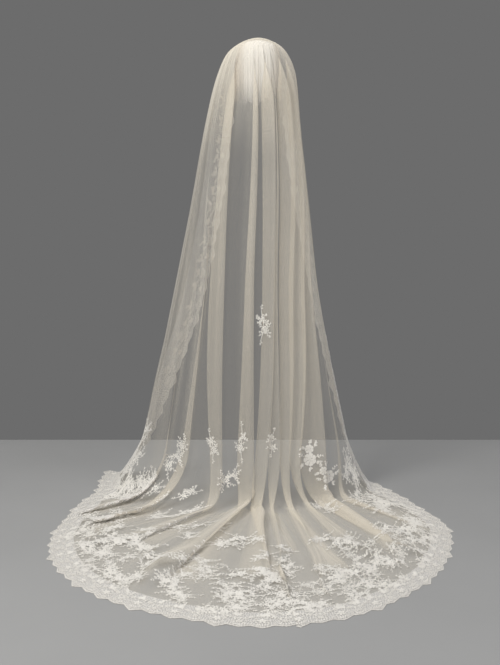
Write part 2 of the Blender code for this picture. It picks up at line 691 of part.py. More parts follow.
def make_comb():
    """Plain comb: one flat profile with its teeth, leaning forward and down into the hair."""
    pitch = 2 * COMB_HALF / (2 * COMB_TEETH - 1)
    outline = [(-COMB_HALF, COMB_SPINE), (-COMB_HALF, 0.0)]
    for k in range(COMB_TEETH):
        x = -COMB_HALF + 2 * k * pitch
        taper = 0.3 * pitch
        if k:
            outline.append((x, 0.0))
        outline += [(x + taper, -COMB_TOOTH_LENGTH), (x + pitch - taper, -COMB_TOOTH_LENGTH), (x + pitch, 0.0)]
    spine = [COMB_HALF * (1 - 2 * k / 8) for k in range(8)]
    outline += [(x, COMB_SPINE) for x in spine]
    made = bmesh.new()
    top = HEADING_LEVEL - HEADING_HEIGHT - SEAM - CROWN_HEIGHT
    face = made.faces.new([made.verts.new((x, 0.0, z)) for x, z in outline])
    grown = bmesh.ops.extrude_face_region(made, geom=[face])
    far = [v for v in grown["geom"] if isinstance(v, bmesh.types.BMVert)]
    bmesh.ops.translate(made, verts=far, vec=(0, COMB_THICKNESS, 0))
    bmesh.ops.recalc_face_normals(made, faces=made.faces)
    bmesh.ops.translate(made, verts=made.verts, vec=(0, -COMB_THICKNESS / 2, -COMB_SPINE))
    bmesh.ops.rotate(made, verts=made.verts, cent=(0, 0, 0), matrix=Matrix.Rotation(COMB_LEAN, 3, "X"))
    peak = max(v.co.z for v in made.verts)
    for vertex in made.verts:
        vertex.co.z += top - peak - crown_drop(vertex.co.x)
    mesh = bpy.data.meshes.new("comb")
    made.to_mesh(mesh)
    made.free()
    add_object("comb", mesh, "comb", smooth=False)


def main():
    clear_scene()
    columns = sheet_columns()
    under = sheet_points(columns, UPPER_ROWS, LOWER_ROWS, LACE_ROWS)
    over = under + surface_normals(under) * WALL
    make_sheet(under, over, columns)
    make_lace(under, over, columns)
    make_sprays(under, surface_normals(under), columns)
    make_tier()
    make_heading()
    make_comb()


main()
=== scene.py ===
"""Cathedral bridal veil: sheer ivory tulle with a scalloped lace border, worn and spread on the floor behind.

The sheet of tulle is a fine grid of points, worked out from tables of its level sections, its plan on the
floor and its long folds. The lace is needlework made flat, in metres, and then laid on the sheet along its
threads.
Metres, +Z up, +Y is the way the wearer faces, and the origin is the comb's seat.
"""

import functools
import math
from collections import namedtuple

import bpy
import numpy as np
from bpy.props import FloatProperty, FloatVectorProperty, PointerProperty
from mathutils import Matrix, Vector
from mathutils.bvhtree import BVHTree


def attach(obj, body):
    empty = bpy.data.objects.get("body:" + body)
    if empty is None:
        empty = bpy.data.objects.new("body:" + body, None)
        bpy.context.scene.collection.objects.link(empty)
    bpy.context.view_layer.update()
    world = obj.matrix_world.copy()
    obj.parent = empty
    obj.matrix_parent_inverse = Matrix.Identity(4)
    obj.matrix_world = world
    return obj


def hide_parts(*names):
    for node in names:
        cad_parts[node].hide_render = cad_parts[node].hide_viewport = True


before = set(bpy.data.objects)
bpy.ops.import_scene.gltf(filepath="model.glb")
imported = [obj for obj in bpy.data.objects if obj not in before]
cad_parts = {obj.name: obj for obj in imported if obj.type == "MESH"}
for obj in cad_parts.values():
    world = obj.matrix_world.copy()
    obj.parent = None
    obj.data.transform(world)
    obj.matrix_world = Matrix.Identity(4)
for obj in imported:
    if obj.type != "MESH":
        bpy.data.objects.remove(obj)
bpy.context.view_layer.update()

bl_info = {
    "name": "Cathedral veil with a lace border",
    "version": (1, 0, 0),
    "blender": (4, 5, 0),
    "location": "3D View > Sidebar > Veil",
    "description": "Models a tulle veil with its lace border, sprays, under tier, heading and comb",
    "category": "Add Mesh",
}

# Sizes of the form, as the solids have them
CROWN_HEIGHT = 1.720  # the comb's seat above the floor
LACE_WIDTH = 0.095
LACE_START = 0.03  # distance from the comb at which the border begins on each edge
BEND_DOWN, BEND_OUT = 0.135, 0.085  # how roundly the fall turns onto the floor behind the wearer
SIDE_DOWN, SIDE_OUT = 0.050, 0.030  # and beside the wearer, where it slopes out nearly straight
BACK_AZIMUTH, SIDE_AZIMUTH = 58, 78
TOOTH_PITCH = 0.066
TOOTH_DEPTHS = (0.025, 0.012, 0.018, 0.011)  # pointed scallops, one large to three smaller

# Stations down the sheet: 0 comb, 1 neck, 2 waist, 3 knee, 4 where it reaches the floor, 5 hem
KNEE, TOUCH, HEM = 3.0, 4.0, 5.0

# Sections of the fall: height above the floor, half widths, depth behind and in front of the comb, and how
# much lower the cloth lies at the sides, where it rounds over the head
Section = namedtuple("Section", "station height left right behind front droop")
FALL = (
    Section(0.00, 1.7365, 0.056, 0.056, 0.010, 0.010, 0.014),
    Section(0.12, 1.7345, 0.080, 0.080, 0.044, 0.040, 0.026),
    Section(0.30, 1.7060, 0.113, 0.109, 0.084, 0.074, 0.022),
    Section(0.60, 1.6080, 0.154, 0.143, 0.122, 0.100, 0.010),
    Section(1.00, 1.4200, 0.198, 0.160, 0.146, 0.120, 0.0),
    Section(1.50, 1.1070, 0.258, 0.196, 0.184, 0.142, 0.0),
    Section(2.00, 0.7950, 0.322, 0.234, 0.222, 0.158, 0.0),
    Section(2.50, 0.4820, 0.390, 0.292, 0.262, 0.168, 0.0),
    Section(3.00, 0.2090, 0.452, 0.350, 0.300, 0.176, 0.0),
)

# Floor plan: azimuth from straight back, positive to the right, radius where the sheet lands and of the hem
Ring = namedtuple("Ring", "azimuth touch hem")
FLOOR = (
    Ring(-110, 0.600, 0.645),
    Ring(-82, 0.585, 0.628),
    Ring(-66, 0.578, 0.730),
    Ring(-55, 0.588, 0.840),
    Ring(-47, 0.595, 0.960),
    Ring(-32, 0.530, 1.180),
    Ring(-19, 0.440, 1.330),
    Ring(-9, 0.395, 1.405),
    Ring(0, 0.415, 1.445),
    Ring(8, 0.438, 1.415),
    Ring(22, 0.430, 1.250),
    Ring(38, 0.415, 1.020),
    Ring(48, 0.430, 0.885),
    Ring(63, 0.460, 0.650),
    Ring(88, 0.455, 0.480),
    Ring(110, 0.450, 0.475),
)

# Long folds, left to right: the middle of each at four stations and on the floor, and how far it doubles
# back. On the floor a fold lies doubled over, by floor_half at its start, and has opened at floor_end of the
# way to the hem. Fine is how finely the net is pleated within the fold, which makes it denser.
Fold = namedtuple("Fold", "name comb neck waist knee touch hem half_neck half_waist half_knee depth ridge "
                          "floor_half floor_end fine")
FOLDS = (
    Fold("side", -66, -64, -54, -50, -60, -56, -3, -1, 2, 0.011, 0.019, 1.6, 0.80, 0.8),
    Fold("diagonal", -51, -49, -38, -37, -47, -47, -3, 1.5, 3.6, 0.015, 0.026, 2.6, 0.62, 1.0),
    Fold("left_pleat", -36, -35, -29, -20.5, -25, -31, 8, 7, 4, 0.015, 0.020, 1.5, 0.50, 0.8),
    Fold("centre_tube", -10, -3, -6, -6, -9, -15, 3, 3.2, 4, 0.014, 0.030, 3.2, 0.74, 1.3),
    Fold("centre_pleat", 6, 13, 9, 2.5, -1, 2, 8, 5, 3.6, 0.015, 0.026, 2.8, 0.68, 1.1),
    Fold("kink", 18, 25, 16, 10, 7, 6, -1, 1, 3, 0.011, 0.020, 0.4, 0.45, 1.0),
    Fold("right_pleat", 33, 39, 26, 16.5, 17, 12, 10, 6, 2.6, 0.014, 0.016, 0.9, 0.66, 1.9),
    Fold("right_pleat_outer", 48, 57, 38, 23, 28, 20, 8, 7, 2.8, 0.014, 0.014, 0.2, 0.40, 2.0),
    Fold("broad", 62, 70, 51, 36, 39, 29, -2, 4, 8, 0.014, 0.026, 4.2, 0.70, 1.6),
    Fold("corner", 75, 80, 66, 61, 52, 43, -2, -2, -1, 0.007, 0.016, 1.0, 0.80, 1.0),
)
HALF_COMB, HALF_CROWN, HALF_TOUCH, HALF_HEM = -2.5, -1.5, -1.2, -2.0

Side = namedtuple("Side", "name comb neck waist knee touch hem")
LEFT_EDGE = Side("left_edge", -99, -148, -140, -112, -106, -107)
LEFT_SIDE = Side("left_side", -80, -86, -82, -76, -75, -75)
RIGHT_SIDE = Side("right_side", 84, 89, 78, 72, 70, 70)
RIGHT_EDGE = Side("right_edge", 99, 138, 119, 102, 91, 89)

HALF_STATIONS = (0, 0.42, 0.85, 2, 3)  # where a fold's half width is given: comb, crown, neck, waist, knee
FOLD_DEPTH = ((0.0, 0.03), (0.3, 0.14), (0.6, 0.48), (1.0, 0.9), (2.0, 1.05), (3.0, 1.3))  # by station
OPEN_HALF, TURN_HALF = -2.5, -0.5  # half widths in degrees of a fold that lies open, and of one doubled back
OPEN_DEPTH, FOLD_HOLLOW = 0.35, -0.7  # depth of an open fold, and its hollow, as shares of the full one
FLOOR_TURN, FLOOR_UNDER = 0.9, 0.1  # how far a fold is turned over on the floor, and its lower layer's height
# On the floor, after a fold's end: where it opens and where its ridge ends, as start and length
FOLD_OPENS, RIDGE_ENDS = (-0.14, 0.17), (-0.06, 0.20)
RIDGE_SINKS = 0.45  # how much of its height a ridge loses on its way
CREASE_ROUND = 1.35  # over 1 rounds the edges at which a fold doubles back
BAND_STEPS = 16

# Smaller creases, put in one by one: the line they follow at their two ends, where they start and stop,
# their height in millimetres and their width in lines. A negative height is a hollow.
Crease = namedtuple("Crease", "line_start line_end start stop height width")
CREASES = [Crease(*row) for row in (
    # On the fall
    (1.25, 1.35, 0.25, 1.70, 3.0, 0.09), (1.55, 1.42, 0.45, 2.90, -3.5, 0.07),
    (1.80, 1.66, 0.20, 2.30, 4.0, 0.06), (1.48, 1.72, 2.10, 3.90, 3.6, 0.08),
    (2.35, 2.20, 0.30, 3.20, -3.2, 0.20), (2.70, 2.62, 0.80, 3.70, 3.4, 0.16),
    (3.10, 2.95, 1.60, 3.90, -2.6, 0.22), (5.85, 6.10, 0.40, 2.60, 2.6, 0.24),
    (6.15, 5.90, 2.20, 3.80, -3.0, 0.20), (8.90, 9.15, 0.70, 2.20, -2.2, 0.22),
    (9.10, 8.85, 2.50, 3.90, 2.8, 0.18), (11.85, 12.20, 0.30, 1.90, 1.8, 0.12),
    (12.15, 11.90, 1.20, 3.60, -1.8, 0.10), (12.25, 12.05, 0.90, 3.00, 1.4, 0.06),
    (14.85, 15.10, 0.50, 2.40, 2.0, 0.16), (17.90, 18.15, 0.30, 3.10, -2.0, 0.18),
    (20.90, 21.20, 0.40, 2.80, 1.8, 0.10), (21.15, 20.90, 1.50, 3.70, -2.2, 0.12),
    (23.85, 24.10, 0.60, 2.10, 2.0, 0.18), (27.10, 26.85, 0.80, 3.40, -2.8, 0.20),
    (26.85, 27.15, 0.30, 1.80, 2.6, 0.14), (29.90, 30.20, 0.90, 3.60, 3.0, 0.22),
    (32.90, 33.20, 0.40, 2.90, -3.0, 0.24), (33.55, 33.35, 1.10, 3.80, 3.2, 0.16),
    (34.20, 34.35, 0.30, 2.20, 3.2, 0.10), (34.60, 34.48, 0.70, 3.60, -3.4, 0.08),
    (34.85, 34.75, 0.20, 1.60, 2.8, 0.07), (34.40, 34.62, 2.40, 3.90, 3.4, 0.08),
    # On the floor, from the folds out to the hem
    (2.30, 2.55, 3.75, 4.75, 8.8, 0.09), (3.35, 3.05, 3.90, 4.95, 7.5, 0.14),
    (6.20, 5.90, 3.80, 4.60, 8.8, 0.12), (9.30, 8.80, 3.85, 4.90, 7.5, 0.12),
    (8.70, 9.05, 4.10, 4.97, 6.2, 0.09), (12.30, 11.85, 3.80, 4.75, 10.0, 0.12),
    (11.75, 12.15, 4.15, 4.97, 7.5, 0.10), (15.20, 14.90, 3.90, 4.85, 8.8, 0.12),
    (14.80, 15.15, 4.25, 4.97, 6.2, 0.09), (18.15, 17.90, 3.85, 4.70, 7.5, 0.14),
    (20.80, 21.15, 3.95, 4.90, 10.0, 0.12), (21.30, 20.95, 4.20, 4.97, 7.5, 0.09),
    (24.20, 23.90, 3.85, 4.80, 8.8, 0.12), (26.80, 27.10, 4.00, 4.95, 7.5, 0.11),
    (30.10, 29.80, 3.85, 4.85, 8.8, 0.12), (33.20, 32.90, 3.90, 4.90, 6.2, 0.12),
    (34.30, 34.55, 3.95, 4.80, 5.0, 0.09),
    # Kinks where the folds land
    (12.60, 14.90, 3.42, 4.30, 11.0, 0.22), (17.30, 15.60, 3.50, 4.26, 12.0, 0.20),
    (20.10, 22.00, 3.44, 4.22, 10.0, 0.22), (24.70, 23.00, 3.52, 4.28, 11.0, 0.20),
    (27.10, 29.00, 3.46, 4.20, 9.0, 0.22), (8.70, 6.90, 3.48, 4.24, 10.0, 0.22),
    # Crumples at the hem
    (18.10, 17.75, 4.52, 4.86, 22.0, 0.34), (18.60, 19.00, 4.58, 4.80, 15.0, 0.26),
    (12.70, 12.95, 4.50, 4.88, 20.0, 0.32), (13.25, 13.05, 4.62, 4.90, 14.0, 0.24),
    (25.40, 26.10, 4.40, 4.78, 19.0, 0.30), (26.60, 26.30, 4.52, 4.84, 14.0, 0.24),
    (28.40, 28.75, 4.62, 4.90, 16.0, 0.28), (9.55, 9.30, 4.55, 4.86, 13.0, 0.26),
)]

GATHER = 0.0012  # height of the gathers at the heading
# How much denser the net is where it is finely pleated, where it lies wrinkled on the floor, where it is
# bunched at both sides of the crown, and where the fall's sides are drawn together, most on the right
PLEAT_GATHER, FLOOR_GATHER, CROWN_GATHER = 1.35, 0.7, 1.6
LEFT_GATHER, RIGHT_GATHER = 0.40, 0.90
FLOOR_PLEATS = 1.5  # how much denser a fold's pleats lie on the floor than they hang at the knee
LOOSENED = 0.42  # how far they let go between the waist and the knee
MIDDLE_LINE, FIRST_FOLD_LINE = 18, 4.5  # control lines: the middle of the sheet, and of its first fold
# Where the density changes, as start and length, in stations down the sheet
ON_FLOOR = (3.3, 0.7)
SIDES_DRAWN, SIDES_LOOSE = (0.5, 0.8), (1.9, 1.1)
PLEATS_TIGHT, PLEATS_LOOSE = (0.3, 1.4), (1.7, 1.3)
CROWN_REACH = 0.85
# The same in control lines, from the middle of the sheet and of a fold, and then after a fold's end, as shares
# of the way to the hem
CROWN_SIDE, FOLD_EDGE = (4.5, 6), (0.85, 0.45)
PLEATS_END = (-0.12, 0.15)

# Fine grid: spans between control lines, and rows
SPANS_LACE, SPANS_FRONT, SPANS_SIDE, SPANS_FOLD = 6, 16, 8, 8
UPPER_PARTS = ((0.0, 0.3, 9), (0.3, 1.0, 12), (1.0, 3.0, 32), (3.0, 3.3, 8))
LOWER_SPANS, LACE_SPANS = 54, 6

NET_LIFT, FLOSS_LIFT, SPRAY_LIFT = 0.0003, 0.0009, 0.0010  # height of the needlework's back over the cloth
CLOTH_CLEAR, SPRAY_CLEAR = 0.0006, 0.0012  # least height above the floor
SPRAY_DROP = 0.045  # how far a hanging spray follows the cloth away from its own middle
FOOT_RISE = 0.3  # height of the foot of a cord or a knot, as a share of its rise
ALONG = (0, 0.17, 0.33, 0.5, 0.67, 0.83, 1)  # places along a stem or a tooth where its cord bends

# The border. Where it hangs it is narrower, and its teeth are smaller.
TOOTH_POINT = 0.9  # under 1 rounds the teeth
OUTER_CORD, INNER_CORD, VINE_CORD = (0.0032, 0.0013), (0.0017, 0.0009), (0.0019, 0.0011)  # width and rise
VINE_LEVEL, VINE_WAVE = 0.058, 0.010
BORDER_FLOWERS = ((0.0145, 0.033), (0.0105, 0.028))  # radius and level, of the larger and the smaller flower
HANG_START, HANG_REACH = 0.22, 0.45  # distance above the hem's corner, and the length of the change
FLOSS_NARROWED, TEETH_NARROWED = 0.40, 0.45
DRAWN_FROM, DRAWN_TO = 0.30, 0.85  # heights above the floor between which the hanging mesh grows opener
LEAST_COSINE = 0.14  # the net is seen no more aslant than this, or its folds would turn solid

# The largest motif, as shares of its size: roses by place and radius, twigs by place, lean and reach. The
# rings of a rose have a number of petals, their start and length as shares of its radius, their rise and the
# first one's angle.
ROSES = ((0.02, -0.16, 0.27), (-0.10, 0.26, 0.19))
ROSE_RINGS = ((7, 0.50, 0.50, 0.0012, 0.0), (6, 0.28, 0.40, 0.0020, 0.4), (4, 0.08, 0.28, 0.0028, 0.1))
ROSE_TWIGS = (
    (0.22, -0.02, 0.9, 0.30), (0.26, -0.22, 1.7, 0.26), (0.10, -0.42, 2.7, 0.16), (-0.20, -0.34, 3.9, 0.22),
    (-0.26, -0.08, 4.9, 0.24), (-0.26, 0.22, 5.2, 0.22), (-0.12, 0.44, 6.0, 0.16), (0.08, 0.36, 0.5, 0.24),
)

# Sprays on the fall, by x and height, and the large ones of the train, by x and y: length, width and turn
Spray = namedtuple("Spray", "node where x other length width turn")
SPRAYS = (
    Spray("spray_waist", "fall", 0.014, 0.672, 0.105, 0.048, 4),
    Spray("spray_tube", "fall", -0.062, 0.240, 0.110, 0.034, -4),
    Spray("spray_kink", "fall", 0.052, 0.238, 0.080, 0.030, 10),
    Spray("spray_pleat", "fall", -0.174, 0.224, 0.090, 0.034, -6),
    Spray("spray_diagonal", "fall", -0.308, 0.172, 0.140, 0.052, 24),
    Spray("rose_upper", "fall", 0.196, 0.178, 0.090, 0.078, 12),
    Spray("rose_lower", "fall", 0.262, 0.100, 0.084, 0.074, -20),
    Spray("", "fall", -0.106, 0.108, 0.085, 0.060, 24),
    Spray("spray_train_1", "train", -0.285, -0.590, 0.210, 0.110, 62),
    Spray("spray_train_2", "train", -0.465, -0.730, 0.220, 0.120, 48),
    Spray("spray_train_3", "train", -0.300, -0.930, 0.230, 0.120, 74),
    Spray("spray_train_4", "train", -0.070, -0.760, 0.200, 0.120, 82),
    Spray("spray_train_5", "train", 0.010, -1.060, 0.240, 0.130, 95),
    Spray("spray_train_6", "train", 0.260, -0.720, 0.200, 0.110, 112),
    Spray("spray_train_7", "train", 0.455, -0.620, 0.170, 0.100, 128),
    Spray("spray_train_8", "train", 0.290, -1.020, 0.230, 0.120, 108),
)

# Smaller sprays of the train in rows that follow the hem: distance from it, how many, their length and width
Row = namedtuple("Row", "from_hem count start stop length width")
SPRAY_ROWS = (
    Row(0.122, 40, 0.02, 0.98, 0.110, 0.064),
    Row(0.182, 34, 0.03, 0.97, 0.118, 0.070),
    Row(0.250, 28, 0.04, 0.96, 0.124, 0.072),
    Row(0.330, 20, 0.08, 0.92, 0.130, 0.074),
    Row(0.425, 14, 0.12, 0.88, 0.130, 0.070),
    Row(0.530, 9, 0.18, 0.84, 0.115, 0.066),
    Row(0.690, 5, 0.25, 0.76, 0.100, 0.054),
)
HEM_ROWS = 2  # the rows that make up the mesh next to the hem
LEFT_OUT_EVERY, LEFT_OUT = 11, 3  # some places are left open, so that the rows don't show as rows

# Short under tier, heading and comb
TIER_HALF_WIDTH, TIER_DEPTH = 0.086, 0.088
TIER_TOP, TIER_FOOT = 1.7300, 1.500
TIER_TOP_HALF, TIER_TOP_DEPTH = 0.0488, 0.0052
TIER_SPREAD = math.radians(104)
HEADING_HALF, HEADING_DEPTH, HEADING_HEIGHT, HEADING_LEVEL = 0.0557, 0.0097, 0.0045, 1.7371
CROWN_DROOP = 0.014  # how much lower comb and heading lie at their ends
TIER_GRID, HEADING_GRID = (441, 40), (161, 16)
TIER_ROUNDED = 0.72  # share of its length over which the tier swells out
TIER_UNEVEN = 0.012  # how unevenly its free edge hangs
COMB_EASE = 0.0003

# Camera, found from the photograph: eye height above the floor, distance, tilt and field of view
EYE = Vector((-0.0305, -4.319, 1.2 - CROWN_HEIGHT))
EYE_DOWN = 0.13579
FIELD_OF_VIEW = 2 * math.atan(665 / 2 / 1106.3)
FLOOR_REACH, FLOOR_BACK = 6, 0.75  # how far the floor goes, and where it ends behind the veil

# Soft round lights, and the point they are turned to
Lamp = namedtuple("Lamp", "name at size watts colour")
LAMPS = (
    Lamp("key", (-2.2, -3.0, 1.5), 2.0, 102, "#FFFEFA"),
    Lamp("fill", (2.8, -2.8, 0.9), 2.4, 34, "#FAFBFF"),
    Lamp("top", (-0.3, -0.5, 2.2), 1.8, 26, "#FFFFFF"),
)
LIT_POINT = (0, -0.2, -0.9)
ROOM_LIGHT = 0.26


def from_hex(code):
    """Linear colour of an sRGB hex value."""
    values = [int(code[k : k + 2], 16) / 255 for k in (1, 3, 5)]
    return tuple(v / 12.92 if v <= 0.04045 else ((v + 0.055) / 1.055) ** 2.4 for v in values)


def smooth_table(places, values, at):
    """Values between the rows of a table, smooth and with no overshoot."""
    places = np.asarray(places, float)
    values = np.asarray(values, float).reshape(len(places), -1)
    step = np.diff(places)[:, None]
    slope = np.diff(values, axis=0) / step
    tangent = np.zeros_like(values)
    product = slope[:-1] * slope[1:]
    total = np.where(np.abs(slope[:-1] + slope[1:]) < 1e-12, 1.0, slope[:-1] + slope[1:])
    tangent[1:-1] = np.where(product > 0, 2.0 * product / total, 0.0)
    tangent[0], tangent[-1] = slope[0], slope[-1]
    at = np.clip(np.atleast_1d(np.asarray(at, float)), places[0], places[-1])
    row = np.clip(np.searchsorted(places, at, side="right") - 1, 0, len(places) - 2)
    part = ((at - places[row])[:, None]) / step[row]
    return hermite(values[row], values[row + 1], tangent[row] * step[row], tangent[row + 1] * step[row], part)


def hermite(start, end, start_slope, end_slope, part):
    square, cube = part**2, part**3
    return (
        start * (2 * cube - 3 * square + 1)
        + end * (3 * square - 2 * cube)
        + start_slope * (cube - 2 * square + part)
        + end_slope * (cube - square)
    )


def eased(value):
    value = np.clip(value, 0.0, 1.0)
    return value * value * (3 - 2 * value)


def ramp(value, start, length):
    """Smooth change from 0 to 1 that begins at a start and takes a length."""
    return eased((value - start) / length)


def doubled_back(half):
    """How far a fold doubles back on itself, from 0 to 1, at its half width in degrees."""
    return ramp(half, OPEN_HALF, TURN_HALF - OPEN_HALF)


def unit(vectors):
    return vectors / np.maximum(np.linalg.norm(vectors, axis=-1, keepdims=True), 1e-9)


def section(station):
    """Height, half axes and droop of the section at a station of the fall."""
    return smooth_table([row.station for row in FALL], [row[1:] for row in FALL], station)[0]


def ring(azimuth):
    """Landing and hem radius at an azimuth in degrees."""
    return smooth_table([row.azimuth for row in FLOOR], [row[1:] for row in FLOOR], azimuth).T


def angle_at(row, station):
    """A table row's angle at a station: degrees round the section above the knee, azimuth on the floor."""
    if station <= KNEE:
        return smooth_table((0, 1, 2, 3), (row.comb, row.neck, row.waist, row.knee), station)[0, 0]
    return row.touch if station < HEM else row.hem


def half_width_at(fold, station):
    if station <= KNEE:
        halves = (HALF_COMB, HALF_CROWN, fold.half_neck, fold.half_waist, fold.half_knee)
        return smooth_table(HALF_STATIONS, halves, station)[0, 0]
    return HALF_TOUCH if station < HEM else HALF_HEM


def edge_band(edge_angle, station, toward):
    """Angle that lies one lace width inside an edge, measured along the cloth."""
    if station > KNEE:
        radius = ring(edge_angle)[0 if station < HEM else 1][0]
        return edge_angle + toward * math.degrees(LACE_WIDTH / radius)
    _, left, right, behind, front, _ = section(station)
    width = LACE_WIDTH * eased(0.06 + station / 1.1)
    side = left if toward > 0 else right
    inner = math.radians(edge_angle)
    for _ in range(BAND_STEPS):
        depth = front if abs(inner) > math.pi / 2 else behind
        speed = math.hypot(side * math.cos(inner), depth * math.sin(inner))
        inner += toward * width / BAND_STEPS / speed
    return math.degrees(inner)


def control_row(station, doubled=False):
    """Angle, rise, and their slopes at every control line of the sheet, left to right, at one station.

    Where the sheet lands, its folds are drawn either open or doubled over.
    """
    left_edge, right_edge = angle_at(LEFT_EDGE, station), angle_at(RIGHT_EDGE, station)
    left_side, right_side = angle_at(LEFT_SIDE, station), angle_at(RIGHT_SIDE, station)
    centres = [angle_at(fold, station) for fold in FOLDS]
    between = [left_side] + centres + [right_side]
    middles = [(a + b) / 2 for a, b in zip(between, between[1:])]
    angles = [left_edge, edge_band(left_edge, station, 1), left_side]
    rises, turned = [0.0] * 3, [0.0] * 3
    on_floor = station > KNEE
    share = 1.0 if on_floor else float(smooth_table(*zip(*FOLD_DEPTH), station)[0, 0])
    for fold, centre, middle in zip(FOLDS, centres, middles):
        half = fold.floor_half if doubled else half_width_at(fold, station)
        state = float(doubled_back(half))
        if on_floor:
            state = FLOOR_TURN if station < HEM else 0.0
            top, under = fold.ridge, FLOOR_UNDER * fold.ridge
        else:
            top = fold.depth * share * (OPEN_DEPTH + (1 - OPEN_DEPTH) * state)
            under = FOLD_HOLLOW * top
        angles += [middle, centre + half, centre - half]
        rises += [0.0, top, under]
        turned += [0.0, state, state]
    angles += [middles[-1], right_side, edge_band(right_edge, station, -1), right_edge]
    rises += [0.0] * 4
    turned += [0.0] * 4
    angles, rises, turned = np.array(angles), np.array(rises), np.array(turned)
    angle_slope = np.gradient(angles)
    angle_slope = np.where(turned > 0, angle_slope * (1 - turned), angle_slope)
    rise_slope = np.zeros(len(angles))
    for index in range(3, len(angles) - 4, 3):
        drop = rises[index + 2] - rises[index + 1]
        rise_slope[index + 1] = CREASE_ROUND * drop * turned[index + 1]
        rise_slope[index + 2] = CREASE_ROUND * drop * turned[index + 2]
    return angles, rises, np.maximum(angle_slope, 0.0), rise_slope


def across(station, columns, doubled=False):
    """Angle in radians and rise of the sheet at one station, at fractional control lines."""
    angles, rises, angle_slope, rise_slope = control_row(station, doubled)
    low = np.clip(np.floor(columns).astype(int), 0, len(angles) - 2)
    part = columns - low
    angle = hermite(angles[low], angles[low + 1], angle_slope[low], angle_slope[low + 1], part)
    rise = hermite(rises[low], rises[low + 1], rise_slope[low], rise_slope[low + 1], part)
    return np.radians(angle), rise


def fall_points(station, columns):
    height, left, right, behind, front, droop = section(station)
    angle, rise = across(station, columns)
    width = np.where(angle < 0, left, right)
    depth = np.where(np.abs(angle) > math.pi / 2, front, behind)
    x = (width + rise) * np.sin(angle)
    y = -(depth + rise) * np.cos(angle)
    z = height - droop * np.where(np.abs(angle) < math.pi / 2, np.sin(angle) ** 2, 1.0)
    return np.stack([x, y, z], axis=1)


def floor_line(station, columns, doubled=False):
    """Points of the landing line or of the hem, in plan, and the ridge heights there."""
    angle, rise = across(station, columns, doubled)
    radius = ring(np.degrees(angle))[0 if station < HEM else 1]
    return np.stack([radius * np.sin(angle), -radius * np.cos(angle)], axis=1), np.maximum(rise, 0.0)


Lower = namedtuple("Lower", "landing doubled ridge hem fold_end knee down side")


def lower_facts(columns):
    """What the lower part is drawn from: landing line, open and doubled, hem, ridges, and the knee."""
    landing, _ = floor_line(TOUCH, columns)
    doubled, ridge = floor_line(TOUCH, columns, True)
    hem, _ = floor_line(HEM, columns)
    knee = fall_points(KNEE, columns)
    down = unit(knee - fall_points(KNEE - 0.05, columns))
    middles = [FIRST_FOLD_LINE + 3 * k for k in range(len(FOLDS))]
    fold_end = np.interp(columns, middles, [fold.floor_end for fold in FOLDS])
    azimuth = np.degrees(np.abs(np.arctan2(landing[:, 0], -landing[:, 1])))
    side = ramp(azimuth, BACK_AZIMUTH, SIDE_AZIMUTH - BACK_AZIMUTH)[:, None]
    return Lower(landing, doubled, ridge, hem, fold_end, knee, down, side)


def lower_points(stations, facts):
    """Under side of the sheet below the knee, at one station for each column: the bend, then the floor."""
    landing, doubled, ridge, hem, fold_end, knee, down, side = facts
    outward = unit(hem - landing)
    touch = np.column_stack([doubled, ridge])
    before = np.column_stack([doubled - outward * (BEND_OUT + (SIDE_OUT - BEND_OUT) * side), ridge])
    t = np.clip(stations - KNEE, 0, 1)[:, None]
    bend_down = BEND_DOWN + (SIDE_DOWN - BEND_DOWN) * side
    bend = knee * (1 - t) ** 3 + (knee + down * bend_down) * 3 * t * (1 - t) ** 2
    bend += before * 3 * t * t * (1 - t) + touch * t**3
    share = (stations - TOUCH) / (HEM - TOUCH)
    held = 1 - ramp(share - fold_end, *FOLD_OPENS)
    height = ridge * (1 - RIDGE_SINKS * eased(share / fold_end)) * (1 - ramp(share - fold_end, *RIDGE_ENDS))
    plan = landing + (hem - landing) * share[:, None] + (doubled - landing) * held[:, None]
    floor = np.column_stack([plan, height])
    return np.where((stations < TOUCH)[:, None], bend, floor)


def lace_station(facts):
    """The station at which each column comes to within a lace width of the hem."""
    tries = np.linspace(HEM, KNEE + 0.3, 90)
    count = len(facts.hem)
    found, run = np.full(count, tries[-1]), np.zeros(count)
    last = lower_points(np.full(count, HEM), facts)
    for before, station in zip(tries, tries[1:]):
        point = lower_points(np.full(count, station), facts)
        step = np.linalg.norm(point - last, axis=1)
        hit = (run < LACE_WIDTH) & (run + step >= LACE_WIDTH)
        found[hit] = before + (station - before) * ((LACE_WIDTH - run) / step)[hit]
        run, last = run + step, point
    return found


def grid_normals(points):
    span, down = np.gradient(points, axis=0), np.gradient(points, axis=1)
    return unit(np.cross(unit(down), unit(span)))


